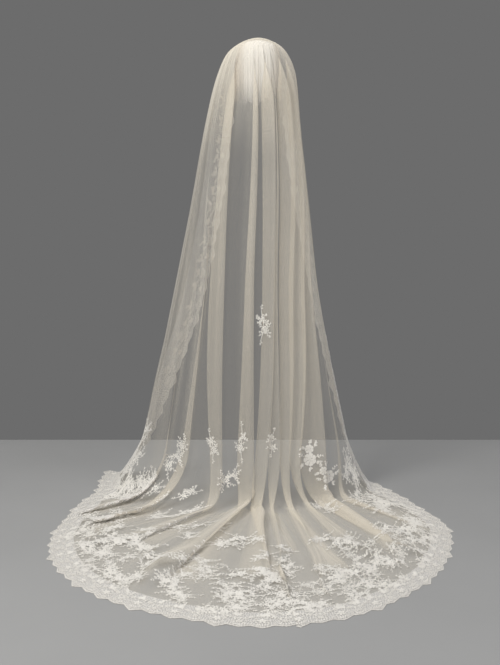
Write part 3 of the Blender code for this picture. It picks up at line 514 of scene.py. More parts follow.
class Cloth:
    """The sheet as a grid [column, row] of points, with the lengths along it that lace is laid by."""

    def __init__(self, lines, points, bunches, seam_row):
        self.lines = lines
        self.points = points
        self.bunches = bunches
        self.normals = grid_normals(points)
        self.seam_row = seam_row
        self.columns, self.rows = (np.arange(count) for count in points.shape[:2])
        self.tree = None
        self.down = self.lengths(1)
        self.over = self.lengths(0)

    def lengths(self, axis):
        step = np.linalg.norm(np.diff(self.points, axis=axis), axis=2)
        start = np.zeros_like(np.take(self.points[:, :, 0], [0], axis=axis))
        return np.concatenate([start, np.cumsum(step, axis=axis)], axis=axis)

    def read(self, grid, column, row):
        """Value of a grid between its points."""
        i = np.clip(np.floor(column).astype(int), 0, grid.shape[0] - 2)
        j = np.clip(np.floor(row).astype(int), 0, grid.shape[1] - 2)
        a, b = column - i, row - j
        if grid.ndim == 3:
            a, b = a[:, None], b[:, None]
        near = grid[i, j] * (1 - b) + grid[i, j + 1] * b
        far = grid[i + 1, j] * (1 - b) + grid[i + 1, j + 1] * b
        return near * (1 - a) + far * a

    def row_lengths(self, row):
        """Lengths across the sheet along one fractional row."""
        j = min(int(row), self.over.shape[1] - 2)
        return self.over[:, j] * (1 - row + j) + self.over[:, j + 1] * (row - j)

    def column_lengths(self, column):
        i = min(int(column), self.down.shape[0] - 2)
        return self.down[i] * (1 - column + i) + self.down[i + 1] * (column - i)

    def lay(self, column, row, lift):
        """Points on the outer side of the cloth, lifted off it."""
        outward = unit(self.read(self.normals, column, row))
        return self.read(self.points, column, row) + outward * lift[:, None]

    def spray_points(self, column, row, flat):
        """Lays flat needlework (across, up, height) round one place of the sheet."""
        rows, columns = self.rows, self.columns
        along = self.column_lengths(column)
        start = np.interp(row, rows, along)
        places = np.interp(start - flat[:, 1], along, rows)
        found = np.empty(len(flat))
        for k, place in enumerate(places):
            lengths = self.row_lengths(place)
            found[k] = np.interp(np.interp(column, columns, lengths) + flat[k, 0], lengths, columns)
        return self.lay(found, places, flat[:, 2])

    def outside_points(self, x, z, flat):
        """Lays flat needlework over the outermost layer of the fall, where it bridges the small folds."""
        if self.tree is None:
            faces = grid_faces(*self.points.shape[:2])
            self.tree = BVHTree.FromPolygons(self.points.reshape(-1, 3).tolist(), faces)
        laid = np.empty(flat.shape)
        middle = self.tree.ray_cast(Vector((x, -1.0, z)), Vector((0, 1, 0)))[0].y
        for k, (across, up, height) in enumerate(flat):
            hit = self.tree.ray_cast(Vector((x + across, -1.0, z + up)), Vector((0, 1, 0)))[0]
            y = min(max(hit.y, middle - SPRAY_DROP), middle + SPRAY_DROP) if hit else middle
            laid[k] = (x + across, y - SPRAY_LIFT - height, z + up)
        return laid

    def hem_points(self, flat):
        """Lays flat needlework (along, inward, height) on the hem, from its left corner."""
        rows, columns = self.rows, self.columns
        column = np.interp(flat[:, 0], self.over[:, -1], columns)
        row = np.empty(len(flat))
        for k, place in enumerate(column):
            lengths = self.column_lengths(place)
            row[k] = np.interp(lengths[-1] - max(flat[k, 1], 0.0), lengths, rows)
        laid = self.lay(column, row, flat[:, 2])
        edge = self.lay(column, np.full(len(flat), rows[-1] * 1.0), flat[:, 2])
        outward = unit(edge - self.lay(column, np.full(len(flat), rows[-1] - 1.0), flat[:, 2]))
        return laid + outward * np.maximum(-flat[:, 1], 0.0)[:, None]

    def side_points(self, flat, right):
        """Lays flat needlework (down, inward, height) on the left or the right edge, from the comb."""
        rows, columns = self.rows, self.columns
        last = columns[-1] if right else 0
        row = np.interp(flat[:, 0], self.down[last], rows)
        column = np.empty(len(flat))
        for k, place in enumerate(row):
            lengths = self.row_lengths(place)
            inward = max(flat[k, 1], 0.0)
            column[k] = np.interp(lengths[-1] - inward if right else inward, lengths, columns)
        laid = self.lay(column, row, flat[:, 2])
        end = np.full(len(flat), float(last))
        edge = self.lay(end, row, flat[:, 2])
        outward = unit(edge - self.lay(end + (-1.0 if right else 1.0), row, flat[:, 2]))
        return laid + outward * np.maximum(-flat[:, 1], 0.0)[:, None]


def bunched(lines, stations):
    """How much closer the net lies at each point than where it hangs in the open."""
    found = 1 + FLOOR_GATHER * ramp(stations, *ON_FLOOR)
    sides = LEFT_GATHER * eased((6 - lines) / 2) + RIGHT_GATHER * ramp(lines, 22, 3)
    found += sides[:, None] * ramp(stations, *SIDES_DRAWN) * (1 - ramp(stations, *SIDES_LOOSE))
    crown_sides = CROWN_GATHER * ramp(np.abs(lines - MIDDLE_LINE), *CROWN_SIDE)
    found += crown_sides[:, None] * np.exp(-((stations / CROWN_REACH) ** 2))
    tries = np.linspace(0.0, KNEE, 31)
    tight = ramp(tries, *PLEATS_TIGHT) * (1 - LOOSENED * ramp(tries, *PLEATS_LOOSE))
    streaks = 1 + 0.34 * np.cos(lines * 31 + 1.3 * np.sin(lines * 2.9))
    streaks += 0.24 * np.cos(lines * 53 + np.sin(lines * 7.0))
    share = (stations - TOUCH) / (HEM - TOUCH)
    reach = eased((stations - KNEE) / (TOUCH - KNEE))
    for number, fold in enumerate(FOLDS):
        half = np.array([half_width_at(fold, station) for station in tries])
        state = doubled_back(half) * fold.fine
        on_fall = np.interp(stations, tries, state * tight)
        on_floor = FLOOR_PLEATS * state[-1] * (1 - ramp(share - fold.floor_end, *PLEATS_END))
        near = 1 - ramp(np.abs(lines - FIRST_FOLD_LINE - 3 * number), *FOLD_EDGE)
        found += PLEAT_GATHER * (near * streaks)[:, None] * (on_fall * (1 - reach) + on_floor * reach)
    return found


@functools.lru_cache(maxsize=None)
def veil_cloth():
    """The whole sheet, with its smaller creases, from comb to hem and from edge to edge."""
    end = 3 + 3 * len(FOLDS)
    spans = [SPANS_LACE, SPANS_FRONT, SPANS_SIDE] + [SPANS_FOLD] * (3 * len(FOLDS))
    spans += [SPANS_SIDE, SPANS_FRONT, SPANS_LACE]
    lines = [line + k / count for line, count in enumerate(spans) for k in range(count)]
    lines = np.array(lines + [end + 3.0])
    upper = [a + (b - a) * k / count for a, b, count in UPPER_PARTS for k in range(count)]
    upper.append(UPPER_PARTS[-1][1])
    facts = lower_facts(lines)
    seam = lace_station(facts)
    stations = [np.full(len(lines), station) for station in upper]
    stations += [upper[-1] + (seam - upper[-1]) * k / LOWER_SPANS for k in range(1, LOWER_SPANS + 1)]
    stations += [seam + (HEM - seam) * k / LACE_SPANS for k in range(1, LACE_SPANS + 1)]
    rows = []
    for station in stations:
        on_fall = station[0] <= KNEE and np.ptp(station) == 0
        rows.append(fall_points(station[0], lines) if on_fall else lower_points(station, facts))
    points, stations = np.stack(rows, axis=1), np.stack(stations, axis=1)
    lift = np.zeros(points.shape[:2])
    for crease in CREASES:
        part = np.clip((stations - crease.start) / (crease.stop - crease.start), 0, 1)
        line = crease.line_start + (crease.line_end - crease.line_start) * part
        fade = np.sin(math.pi * part) ** 0.7
        lift += crease.height / 1000 * fade * np.exp(-(((lines[:, None] - line) / crease.width) ** 2))
    # Gathers that run out of the heading and die away over the head
    gathers = np.cos(lines * 9.7 + 1.6 * np.sin(lines * 1.3))
    gathers += 0.6 * np.cos(lines * 16.3 + 2.0 * np.sin(lines * 0.9))
    lift += GATHER * gathers[:, None] * np.clip(stations / 0.12, 0, 1) * np.exp(-stations / 0.45)
    points = points + grid_normals(points) * lift[:, :, None]
    points[:, :, 2] = np.maximum(points[:, :, 2], CLOTH_CLEAR) - CROWN_HEIGHT
    return Cloth(lines, points, bunched(lines, stations), len(upper) + LOWER_SPANS - 1)


def mesh_object(name, points, faces, material, uv=None, bunches=None):
    """A smooth mesh that rides on the frame and takes its finish from one slot."""
    mesh = bpy.data.meshes.new(name)
    mesh.from_pydata([tuple(p) for p in points], [], faces)
    order = np.empty(len(mesh.loops), int)
    mesh.loops.foreach_get("vertex_index", order)
    if uv is not None:
        layer = mesh.uv_layers.new(name="threads")
        layer.data.foreach_set("uv", np.asarray(uv, float)[order].ravel())
    if bunches is not None:
        layer = mesh.uv_layers.new(name="bunches")
        layer.data.foreach_set("uv", np.repeat(np.asarray(bunches, float)[order], 2))
    mesh.shade_smooth()
    mesh.materials.append(material)
    made = bpy.data.objects.new(name, mesh)
    bpy.context.scene.collection.objects.link(made)
    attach(made, "root")
    return made


def grid_faces(columns, rows):
    index = np.arange(columns * rows).reshape(columns, rows)
    quads = np.stack([index[:-1, :-1], index[:-1, 1:], index[1:, 1:], index[1:, :-1]], axis=-1)
    return [tuple(q) for q in quads.reshape(-1, 4).tolist()]


def bearing(angle):
    """One step in the flat, at an angle turned from up towards the right."""
    return Vector((math.sin(angle), math.cos(angle)))


class Gathered:
    """Points and faces of many pieces of needlework, gathered for one mesh."""

    def __init__(self):
        self.points = []
        self.faces = []

    def add(self, points, faces):
        start = len(self.points)
        self.points += list(points)
        self.faces += [tuple(start + k for k in face) for face in faces]


class Needlework(Gathered):
    """Flat embroidery: points (across, up, height) and faces, in metres, before it is laid on the cloth."""

    def blade(self, at, turn, length, width, shape, rise):
        """A leaf or petal in satin stitch: two rows of stitches that meet on a raised middle line."""
        cos, sin = math.cos(turn), math.sin(turn)
        count = len(shape)
        points = []
        for k, half in enumerate(shape):
            along = length * k / (count - 1)
            for side, height in ((-1, 0.25), (0, 1.0), (1, 0.25)):
                out = side * half * width / 2
                x, y = at[0] + out * cos + along * sin, at[1] - out * sin + along * cos
                points.append((x, y, rise * height))
        faces = []
        for k in range(count - 1):
            a = 3 * k
            faces += [(a, a + 1, a + 4, a + 3), (a + 1, a + 2, a + 5, a + 4)]
        self.add(points, faces)

    def leaf(self, at, turn, length, width, rise=0.0009):
        self.blade(at, turn, length, width, (0.15, 1.0, 0.75, 0.06), rise)

    def leaflet(self, at, turn, length, width, rise=0.0009):
        self.blade(at, turn, length, width, (0.3, 1.0, 0.12), rise)

    def petal(self, at, turn, length, width, rise=0.0011):
        self.blade(at, turn, length, width, (0.22, 0.78, 1.0, 0.5), rise)

    def knot(self, at, radius, rise=0.0016):
        """A small domed knot, or the eye of a flower."""
        points = []
        for k in range(6):
            angle = math.pi * k / 3
            x, y = at[0] + radius * math.cos(angle), at[1] + radius * math.sin(angle)
            points.append((x, y, rise * FOOT_RISE))
        self.add(points + [(at[0], at[1], rise)], [(k, (k + 1) % 6, 6) for k in range(6)])

    def cord(self, path, width, rise=0.0011):
        """A raised cord along a path, in roof section."""
        path = [Vector(p) for p in path]
        points = []
        for k, at in enumerate(path):
            along = (path[min(k + 1, len(path) - 1)] - path[max(k - 1, 0)]).normalized()
            out = Vector((-along.y, along.x)) * width / 2
            foot = rise * FOOT_RISE
            points += [(at.x - out.x, at.y - out.y, foot), (at.x, at.y, rise)]
            points.append((at.x + out.x, at.y + out.y, foot))
        faces = []
        for k in range(len(path) - 1):
            a = 3 * k
            faces += [(a, a + 3, a + 4, a + 1), (a + 1, a + 4, a + 5, a + 2)]
        self.add(points, faces)

    def bloom(self, at, radius, petals, turn):
        """An open flower: a ring of petals with net between them, a smaller ring, and a domed eye."""
        for k in range(petals):
            angle = turn + 2 * math.pi * k / petals
            start = (at[0] + 0.26 * radius * math.sin(angle), at[1] + 0.26 * radius * math.cos(angle))
            self.petal(start, angle, radius * 0.76, radius * 3.1 / petals)
            if radius > 0.012:
                angle += math.pi / petals
                start = (at[0] + 0.20 * radius * math.sin(angle), at[1] + 0.20 * radius * math.cos(angle))
                self.petal(start, angle, radius * 0.36, radius * 1.7 / petals, 0.0019)
        self.knot(at, radius * 0.2, 0.0022)

    def twig(self, at, turn, length, pairs, leaf, bend, bud=True):
        """A stem that curves as it goes, with leaves in pairs that shrink to its tip."""
        place, angle, path = Vector(at), turn, [tuple(at)]
        for k in range(pairs + 1):
            share = k / (pairs + 1)
            angle += bend / (pairs + 1)
            place = place + bearing(angle) * length / (pairs + 1)
            path.append(tuple(place))
            size = leaf * (1.05 - 0.5 * share)
            for side in (-1, 1):
                lean = angle + side * (0.85 - 0.25 * share + 0.12 * math.sin(5 * k + 3 * side + turn * 4))
                reach = size * (1 + 0.22 * math.sin(3.1 * k + side + turn))
                self.leaf(tuple(place), lean, reach, size * 0.56)
        self.cord(path, leaf * 0.2, 0.0008)
        self.leaf(path[-1], angle, leaf * 0.8, leaf * 0.3)
        if bud:
            self.knot(path[-1], leaf * 0.17)
        return path

    def branch(self, at, turn, length, leaf, bend, kind):
        """A short branch like coral: small leaves right and left in turn, and a leaf or flower at its tip."""
        place, angle, path = Vector(at), turn, [tuple(at)]
        count = max(2, round(length / (0.66 * leaf)))
        for k in range(count):
            angle += bend / count
            place = place + bearing(angle) * length / count
            path.append(tuple(place))
            side = 1 if (k + kind) % 2 else -1
            size = leaf * (1.05 + 0.3 * math.sin(2.9 * k + 1.7 * kind + 3 * turn)) * (1 - 0.3 * k / count)
            self.leaflet(path[-1], angle + side * (1.15 - 0.3 * k / count), size, 0.42 * size)
        self.cord(path, 0.17 * leaf, 0.0008)
        if kind % 3 == 0:
            self.bloom(path[-1], 0.62 * leaf, 5, turn)
        else:
            self.leaflet(path[-1], angle, leaf, 0.4 * leaf)


def turned(work, turn):
    cos, sin = math.cos(turn), math.sin(turn)
    work.points = [(u * cos + v * sin, -u * sin + v * cos, h) for u, v, h in work.points]
    return work


def spray_work(length, width, turn, kind):
    """One spray: a curved stem with patches of small flowers, each with short branches all round it."""
    work = Needlework()
    sway = (-1) ** kind
    leaf = 0.0056 + 0.036 * width
    bow = 0.15 * sway * width
    stem = [(bow * math.sin(4.2 * q + kind), length * (q - 0.5)) for q in ALONG]
    work.cord(stem, 0.0018, 0.0009)
    patches = ((1, 0.90), (3, 1.10), (5, 0.78)) if length > 0.125 else ((2, 1.05), (4, 0.85))
    for number, (place, share) in enumerate(patches):
        side = sway * (-1) ** number
        middle = Vector((stem[place][0] + side * 0.12 * width, stem[place][1]))
        radius = 0.5 * width * share
        count = 7 + (kind + number) % 2
        for k in range(count):
            lean = 2 * math.pi * k / count + 0.45 * math.sin(3.1 * k + 2 * kind + number)
            reach = radius * (0.84 + 0.28 * math.sin(2.3 * k + kind + 1.7 * number))
            start = middle + bearing(lean) * 0.18 * radius
            work.branch(tuple(start), lean, reach, leaf, 0.6 * (-1) ** k, k + kind)
        for k in range(2):
            at = middle + bearing(2.6 * k + kind + number) * 0.24 * radius
            work.bloom(tuple(at), max(0.0082, 0.34 * radius) * (1 - 0.2 * k), 5 + k, 0.4 * kind)
    for end, lean in ((0, math.pi), (-1, 0.0)):
        work.branch(stem[end], lean + 0.3 * side, 0.16 * length, leaf, 0.5 * sway, kind + 1)
    return turned(work, turn)


def rose_work(size, turn):
    """The largest motif: two open roses, one over the other, with buds and leaves round them."""
    work = Needlework()
    for x, y, share in ROSES:
        at, radius = (x * size, y * size), share * size
        for count, near, far, height, start in ROSE_RINGS:
            for k in range(count):
                angle = start + 2 * math.pi * k / count
                foot = (at[0] + near * radius * math.sin(angle), at[1] + near * radius * math.cos(angle))
                around = 2 * math.pi * (near + far / 2) * radius / count
                work.petal(foot, angle, far * radius, 1.12 * around, height)
        work.knot(at, 0.12 * radius, 0.0034)
    for k, (x, y, lean, reach) in enumerate(ROSE_TWIGS):
        bend = 0.5 * (-1) ** k
        work.twig((x * size, y * size), lean, reach * size, 2 + k % 2, 0.105 * size, bend, k % 2 == 0)
    return turned(work, turn)


def tooth_depth(k):
    return TOOTH_DEPTHS[k % len(TOOTH_DEPTHS)]


def tooth_share(part):
    """How far a tooth stands out at a part of its width, as a share of its depth."""
    return (1 - abs(2 * part - 1)) ** TOOTH_POINT


def vine_level(place):
    """Level of the vine, which makes one wave to two teeth."""
    return VINE_LEVEL + VINE_WAVE * math.sin(math.pi * place)


def border_work(length, pitch):
    """The border over one run of edge, flat: corded teeth, with flowers, a vine and twigs inside them."""
    work = Needlework()
    count = max(2, round(length / pitch))
    step = length / count
    scale = step / pitch
    for k in range(count):
        deep = tooth_depth(k)
        s = k * step
        mid = s + step / 2
        # Outline of the tooth: a cord, a finer one inside it, and a row of picots
        work.cord([(s + step * q, 0.003 - (deep - 0.001) * tooth_share(q)) for q in ALONG], *OUTER_CORD)
        work.cord([(s + step * q, 0.011 - (deep - 0.003) * tooth_share(q)) for q in ALONG], *INNER_CORD)
        for q, lean in ((0.22, 2.5), (0.36, 2.85), (0.5, math.pi), (0.64, -2.85), (0.78, -2.5)):
            foot = (s + step * q, 0.016 - 0.004 * (1 - abs(2 * q - 1)))
            work.leaf(foot, lean, 0.55 * deep + 0.004, 0.0042, 0.0010)
        # Flower of the tooth, with leaves round it
        radius, level = BORDER_FLOWERS[k % 2]
        radius *= scale
        work.bloom((mid, level), radius, 5 + k % 2, 0.25 * k)
        for lean in (0.75, 1.5, 2.2, -0.75, -1.5, -2.2):
            at = (mid + (radius + 0.002) * math.sin(lean), level + (radius + 0.002) * math.cos(lean))
            work.leaf(at, lean + 0.3 * math.sin(k + lean), 0.0120 * scale, 0.0046)
        work.knot((s + 0.003, 0.016), 0.0024)
        work.knot((s + 0.002, 0.027), 0.0019)
        # Scrolling vine with its leaves
        work.cord([(s + step * q, vine_level(k + q)) for q in (0, 0.2, 0.4, 0.6, 0.8, 1)], *VINE_CORD)
        for q, side in ((0.05, 1), (0.28, -1), (0.5, 1), (0.72, -1), (0.93, 1)):
            slope = math.atan2(step, VINE_WAVE * math.pi * math.cos(math.pi * (k + q)))
            at = (s + step * q, vine_level(k + q))
            work.leaf(at, slope - side * 0.9, 0.0135 * scale, 0.0050)
            work.leaf(at, slope + side * 0.8, 0.0105 * scale, 0.0042)
        # Twigs of leaves that make the uneven inner edge
        reach = 0.030 + 0.012 * math.sin(2.3 * k) + (0.010 if k % 2 else 0.0)
        foot = (mid + 0.008 * math.sin(1.7 * k), 0.062)
        work.twig(foot, 0.5 * math.sin(1.3 * k), reach, 3, 0.0125 * scale, 0.4 * math.cos(k))
        for side in (-1, 1):
            lean = side * (0.95 + 0.15 * math.sin(k))
            work.twig(foot, lean, 0.62 * reach, 2, 0.0110 * scale, -0.5 * side)
    return work


def add_node(tree, kind, inputs=(), **settings):
    """Adds a node with its settings, and with a constant or a link at each named input."""
    made = tree.nodes.new(kind)
    for key, value in settings.items():
        setattr(made, key, value)
    for place, value in dict(inputs).items():
        if isinstance(value, bpy.types.NodeSocket):
            tree.links.new(value, made.inputs[place])
        else:
            made.inputs[place].default_value = value
    return made


def new_material(name, finish):
    """A new node material with its finish, and the functions that add a node and that link to its shader."""
    material = bpy.data.materials.new(name)
    material.use_nodes = True
    tree = material.node_tree
    shader = tree.nodes["Principled BSDF"]
    for place, value in finish.items():
        shader.inputs[place].default_value = value

    def link(output, place):
        tree.links.new(output, shader.inputs[place])

    return material, functools.partial(add_node, tree), link


def net_cover(node, facing_cover, thread_cover, half_thread, cell_mm, uneven, gathered):
    """How much of the view a net of twisted threads covers.

    Uneven is how irregular its cells are, and half_thread is in cells. Threads are round, so seen aslant they
    cover more: the share left open is the open share seen squarely, to the power of one over the cosine.
    Gathered multiplies that power where the net is bunched.
    """
    place = node("ShaderNodeUVMap", uv_map="threads")
    weave = {"Vector": place.outputs[0], "Scale": 1000 / cell_mm, "Randomness": uneven}
    cells = node("ShaderNodeTexVoronoi", weave, feature="DISTANCE_TO_EDGE", voronoi_dimensions="2D")
    thread = node("ShaderNodeMath", {0: cells.outputs["Distance"], 1: half_thread}, operation="LESS_THAN")
    threads_share = 1 - (1 - 2 * half_thread) ** 2
    between = max(0.0, (facing_cover - threads_share * thread_cover) / (1 - threads_share))
    open_share = node("ShaderNodeMapRange", {0: thread.outputs[0], 3: 1 - between, 4: 1 - thread_cover})
    return seen_cover(node, open_share.outputs[0], gathered)


def seen_cover(node, open_share, gathered=1.0):
    """Cover of a sheer cloth as it is seen, from the share that is open when it is seen squarely."""
    facing = node("ShaderNodeLayerWeight", {0: 0.5})
    cosine = node("ShaderNodeMath", {0: 1.0, 1: facing.outputs["Facing"]}, operation="SUBTRACT")
    held = node("ShaderNodeMath", {0: cosine.outputs[0], 1: LEAST_COSINE}, operation="MAXIMUM")
    power = node("ShaderNodeMath", {0: gathered, 1: held.outputs[0]}, operation="DIVIDE")
    seen_open = node("ShaderNodeMath", {0: open_share, 1: power.outputs[0]}, operation="POWER")
    return node("ShaderNodeMath", {0: 1.0, 1: seen_open.outputs[0]}, operation="SUBTRACT").outputs[0]


def clouded(node, link, vector, scale, detail, colour, other):
    """Base colour that drifts faintly between two near tones."""
    cloud = node("ShaderNodeTexNoise", {"Vector": vector, "Scale": scale, "Detail": detail})
    tones = {"Factor": cloud.outputs[0], "A": (*colour, 1.0), "B": (*other, 1.0)}
    link(node("ShaderNodeMix", tones, data_type="RGBA").outputs["Result"], "Base Color")


def tulle_material(settings):
    """Silk tulle, machine-made net: soft and dull, a little warm, denser where it is gathered at the comb."""
    finish = {"Roughness": 0.62, "Sheen Weight": 0.35, "Sheen Roughness": 0.4, "Specular IOR Level": 0.3}
    material, node, link = new_material("silk tulle net", finish)
    split = node("ShaderNodeSeparateXYZ", {0: node("ShaderNodeTexCoord").outputs["Object"]})
    crown = node("ShaderNodeMapRange", {0: split.outputs[2], 1: -0.46, 2: 0.0, 3: 1.0, 4: 4.6},
                 interpolation_type="SMOOTHSTEP")
    pleats = node("ShaderNodeSeparateXYZ", {0: node("ShaderNodeUVMap", uv_map="bunches").outputs[0]})
    gathered = node("ShaderNodeMath", {0: crown.outputs[0], 1: pleats.outputs[0]}, operation="MULTIPLY")
    # Real cells are about 1.2 mm. They are drawn twice as coarse, so that they show in a close view.
    cover = settings.tulle_cover
    link(net_cover(node, cover, 3.0 * cover, 0.045, 2.4, 0.4, gathered.outputs[0]), "Alpha")
    threads = node("ShaderNodeUVMap", uv_map="threads")
    clouded(node, link, threads.outputs[0], 5.0, 3.0, settings.tulle, from_hex("#F4ECDD"))
    return material


def ground_material(settings):
    """Cotton ground of the lace, an open mesh of twisted threads: matt, speckled with small dark gaps."""
    finish = {"Roughness": 0.7, "Sheen Weight": 0.2, "Base Color": (*settings.lace, 1.0)}
    material, node, link = new_material("lace ground mesh", finish)
    # Above the floor the border is seen from its back through the tulle, and its mesh hangs drawn out
    split = node("ShaderNodeSeparateXYZ", {0: node("ShaderNodeTexCoord").outputs["Object"]})
    low, high = DRAWN_FROM - CROWN_HEIGHT, DRAWN_TO - CROWN_HEIGHT
    drawn = node("ShaderNodeMapRange", {0: split.outputs[2], 1: low, 2: high, 3: 1.0, 4: 0.42})
    # Real cells are about 1.2 mm. They are drawn 8 mm wide, so that they show from across the room.
    link(net_cover(node, settings.ground_cover, 0.92, 0.12, 8.0, 0.9, drawn.outputs[0]), "Alpha")
    return material


def lace_material(settings):
    """Cotton and silk floss in satin stitch: matt, brightest on its raised lines, fine parallel threads."""
    finish = {"Roughness": 0.75, "Sheen Weight": 0.25, "Specular IOR Level": 0.3}
    material, node, link = new_material("satin-stitched floss", finish)
    place = node("ShaderNodeTexCoord").outputs["Object"]
    # Threads lie 1.1 mm apart. A wave texture has 20 bands to its unit length.
    stitches = {"Vector": place, "Scale": 1000 / 1.1 / 20, "Distortion": 2.5, "Detail": 2.0}
    threads = node("ShaderNodeTexWave", stitches, wave_type="BANDS", bands_direction="DIAGONAL")
    clouded(node, link, place, 9.0, 2.0, settings.lace, from_hex("#F8F4EC"))
    bump = node("ShaderNodeBump", {"Height": threads.outputs["Fac"], "Strength": 0.25, "Distance": 0.0004})
    link(bump.outputs[0], "Normal")
    return material


def tier_material(settings):
    """Several layers of gathered tulle: dense white behind the head, thinner at the sides and the edge, with a
    faint painted shade at both sides.
    """
    material, node, link = new_material("gathered tulle layers", {"Roughness": 0.7, "Sheen Weight": 0.3})
    split = node("ShaderNodeSeparateXYZ", {0: node("ShaderNodeTexCoord").outputs["Object"]})
    foot = TIER_FOOT - CROWN_HEIGHT
    low, high = foot - 0.012, foot + 0.075
    level = node("ShaderNodeMapRange", {0: split.outputs[2], 1: low, 2: high, 3: 0.85, 4: 0.14})
    # Distance out to the sides: it opens the net there, and it also mixes in the painted shade below
    out = node("ShaderNodeMath", {0: split.outputs[0]}, operation="ABSOLUTE")
    side = node("ShaderNodeMapRange", {0: out.outputs[0], 1: 0.045, 2: 0.084, 3: 0.0, 4: 0.5},
                interpolation_type="SMOOTHSTEP")
    open_share = node("ShaderNodeMath", {0: level.outputs[0], 1: side.outputs[0]}, operation="ADD")
    held = node("ShaderNodeMath", {0: open_share.outputs[0], 1: 0.92}, operation="MINIMUM")
    link(seen_cover(node, held.outputs[0]), "Alpha")
    # Painted shade: a faint warmer, darker tint at both sides, where the layers are seen through one another
    tones = {"Factor": side.outputs[0], "A": (*settings.tier, 1.0), "B": (*from_hex("#F0D9C4"), 1.0)}
    link(node("ShaderNodeMix", tones, data_type="RGBA").outputs["Result"], "Base Color")
    return material


def heading_material(settings):
    """Bunched tulle of sheet and tier together, pressed close: the same silk, nearly opaque."""
    finish = {"Roughness": 0.7, "Sheen Weight": 0.3, "Base Color": (*settings.tulle, 1.0)}
    material, node, link = new_material("bunched silk tulle", finish)
    place = node("ShaderNodeTexCoord").outputs["Object"]
    cloud = node("ShaderNodeTexNoise", {"Vector": place, "Scale": 240.0, "Detail": 3.0})
    cover = node("ShaderNodeMapRange", {0: cloud.outputs[0], 1: 0.3, 2: 0.7, 3: 0.45, 4: 0.9})
    link(cover.outputs[0], "Alpha")
    return material


def comb_material(settings):
    """Cellulose acetate, moulded and tumbled: smooth, faintly cloudy, glossy."""
    material, node, link = new_material("moulded acetate", {"Roughness": 0.22, "IOR": 1.48})
    place = node("ShaderNodeTexCoord").outputs["Object"]
    clouded(node, link, place, 60.0, 2.0, settings.comb, from_hex("#F7F1E4"))
    return material


def floor_material(settings):
    """Trowelled cement floor, sealed and matt: an even pale grey with a faint cloud."""
    material, node, link = new_material("sealed cement floor", {"Roughness": 0.7})
    place = node("ShaderNodeTexCoord").outputs["Object"]
    clouded(node, link, place, 2.2, 5.0, settings.floor, [v * 1.12 for v in settings.floor])
    return material


def node_names(*starts):
    return [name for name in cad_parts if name.startswith(starts)]


class VeilSettings(bpy.types.PropertyGroup):
    """Sizes and colours of the veil that a user would change."""

    tulle: FloatVectorProperty(
        name="Tulle", description="Colour of the silk net", subtype="COLOR", size=3,
        default=from_hex("#EAE1D0"))
    lace: FloatVectorProperty(
        name="Lace", description="Colour of the floss", subtype="COLOR", size=3,
        default=from_hex("#F4F0EA"))
    tier: FloatVectorProperty(
        name="Under tier", description="Colour of the gathered layers", subtype="COLOR", size=3,
        default=from_hex("#FAF8F5"))
    comb: FloatVectorProperty(
        name="Comb", description="Colour of the comb", subtype="COLOR", size=3,
        default=from_hex("#EDE4D2"))
    floor: FloatVectorProperty(
        name="Floor", description="Colour of the floor", subtype="COLOR", size=3,
        default=from_hex("#A2A2A2"))
    backdrop: FloatVectorProperty(
        name="Backdrop", description="Colour behind the veil", subtype="COLOR", size=3,
        default=from_hex("#6C6C6C"))
    tulle_cover: FloatProperty(
        name="Tulle cover", description="Share of the view that one layer of tulle covers", subtype="FACTOR",
        default=0.092, min=0.02, max=0.9)
    ground_cover: FloatProperty(
        name="Lace ground cover", description="Share that the lace's ground net covers", subtype="FACTOR",
        default=0.50, min=0.02, max=0.95)
    tooth_pitch: FloatProperty(
        name="Scallop pitch", description="Width of one pointed scallop", unit="LENGTH",
        default=TOOTH_PITCH, min=0.03, max=0.2)


class VEIL_OT_tulle(bpy.types.Operator):
    """Sheet of tulle, from the comb to the lace border"""

    bl_idname = "veil.tulle"
    bl_label = "Tulle sheet"

    def execute(self, context):
        cloth = veil_cloth()
        part = (slice(SPANS_LACE, len(cloth.lines) - SPANS_LACE), slice(0, cloth.seam_row + 1))
        points = cloth.points[part]
        uv = np.stack([cloth.over[part], cloth.down[part]], axis=-1).reshape(-1, 2)
        made = mesh_object("tulle_sheet", points.reshape(-1, 3), grid_faces(*points.shape[:2]),
                           tulle_material(context.scene.veil), uv, cloth.bunches[part].ravel())
        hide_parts(*node_names("tulle_"))
        return {"FINISHED"}


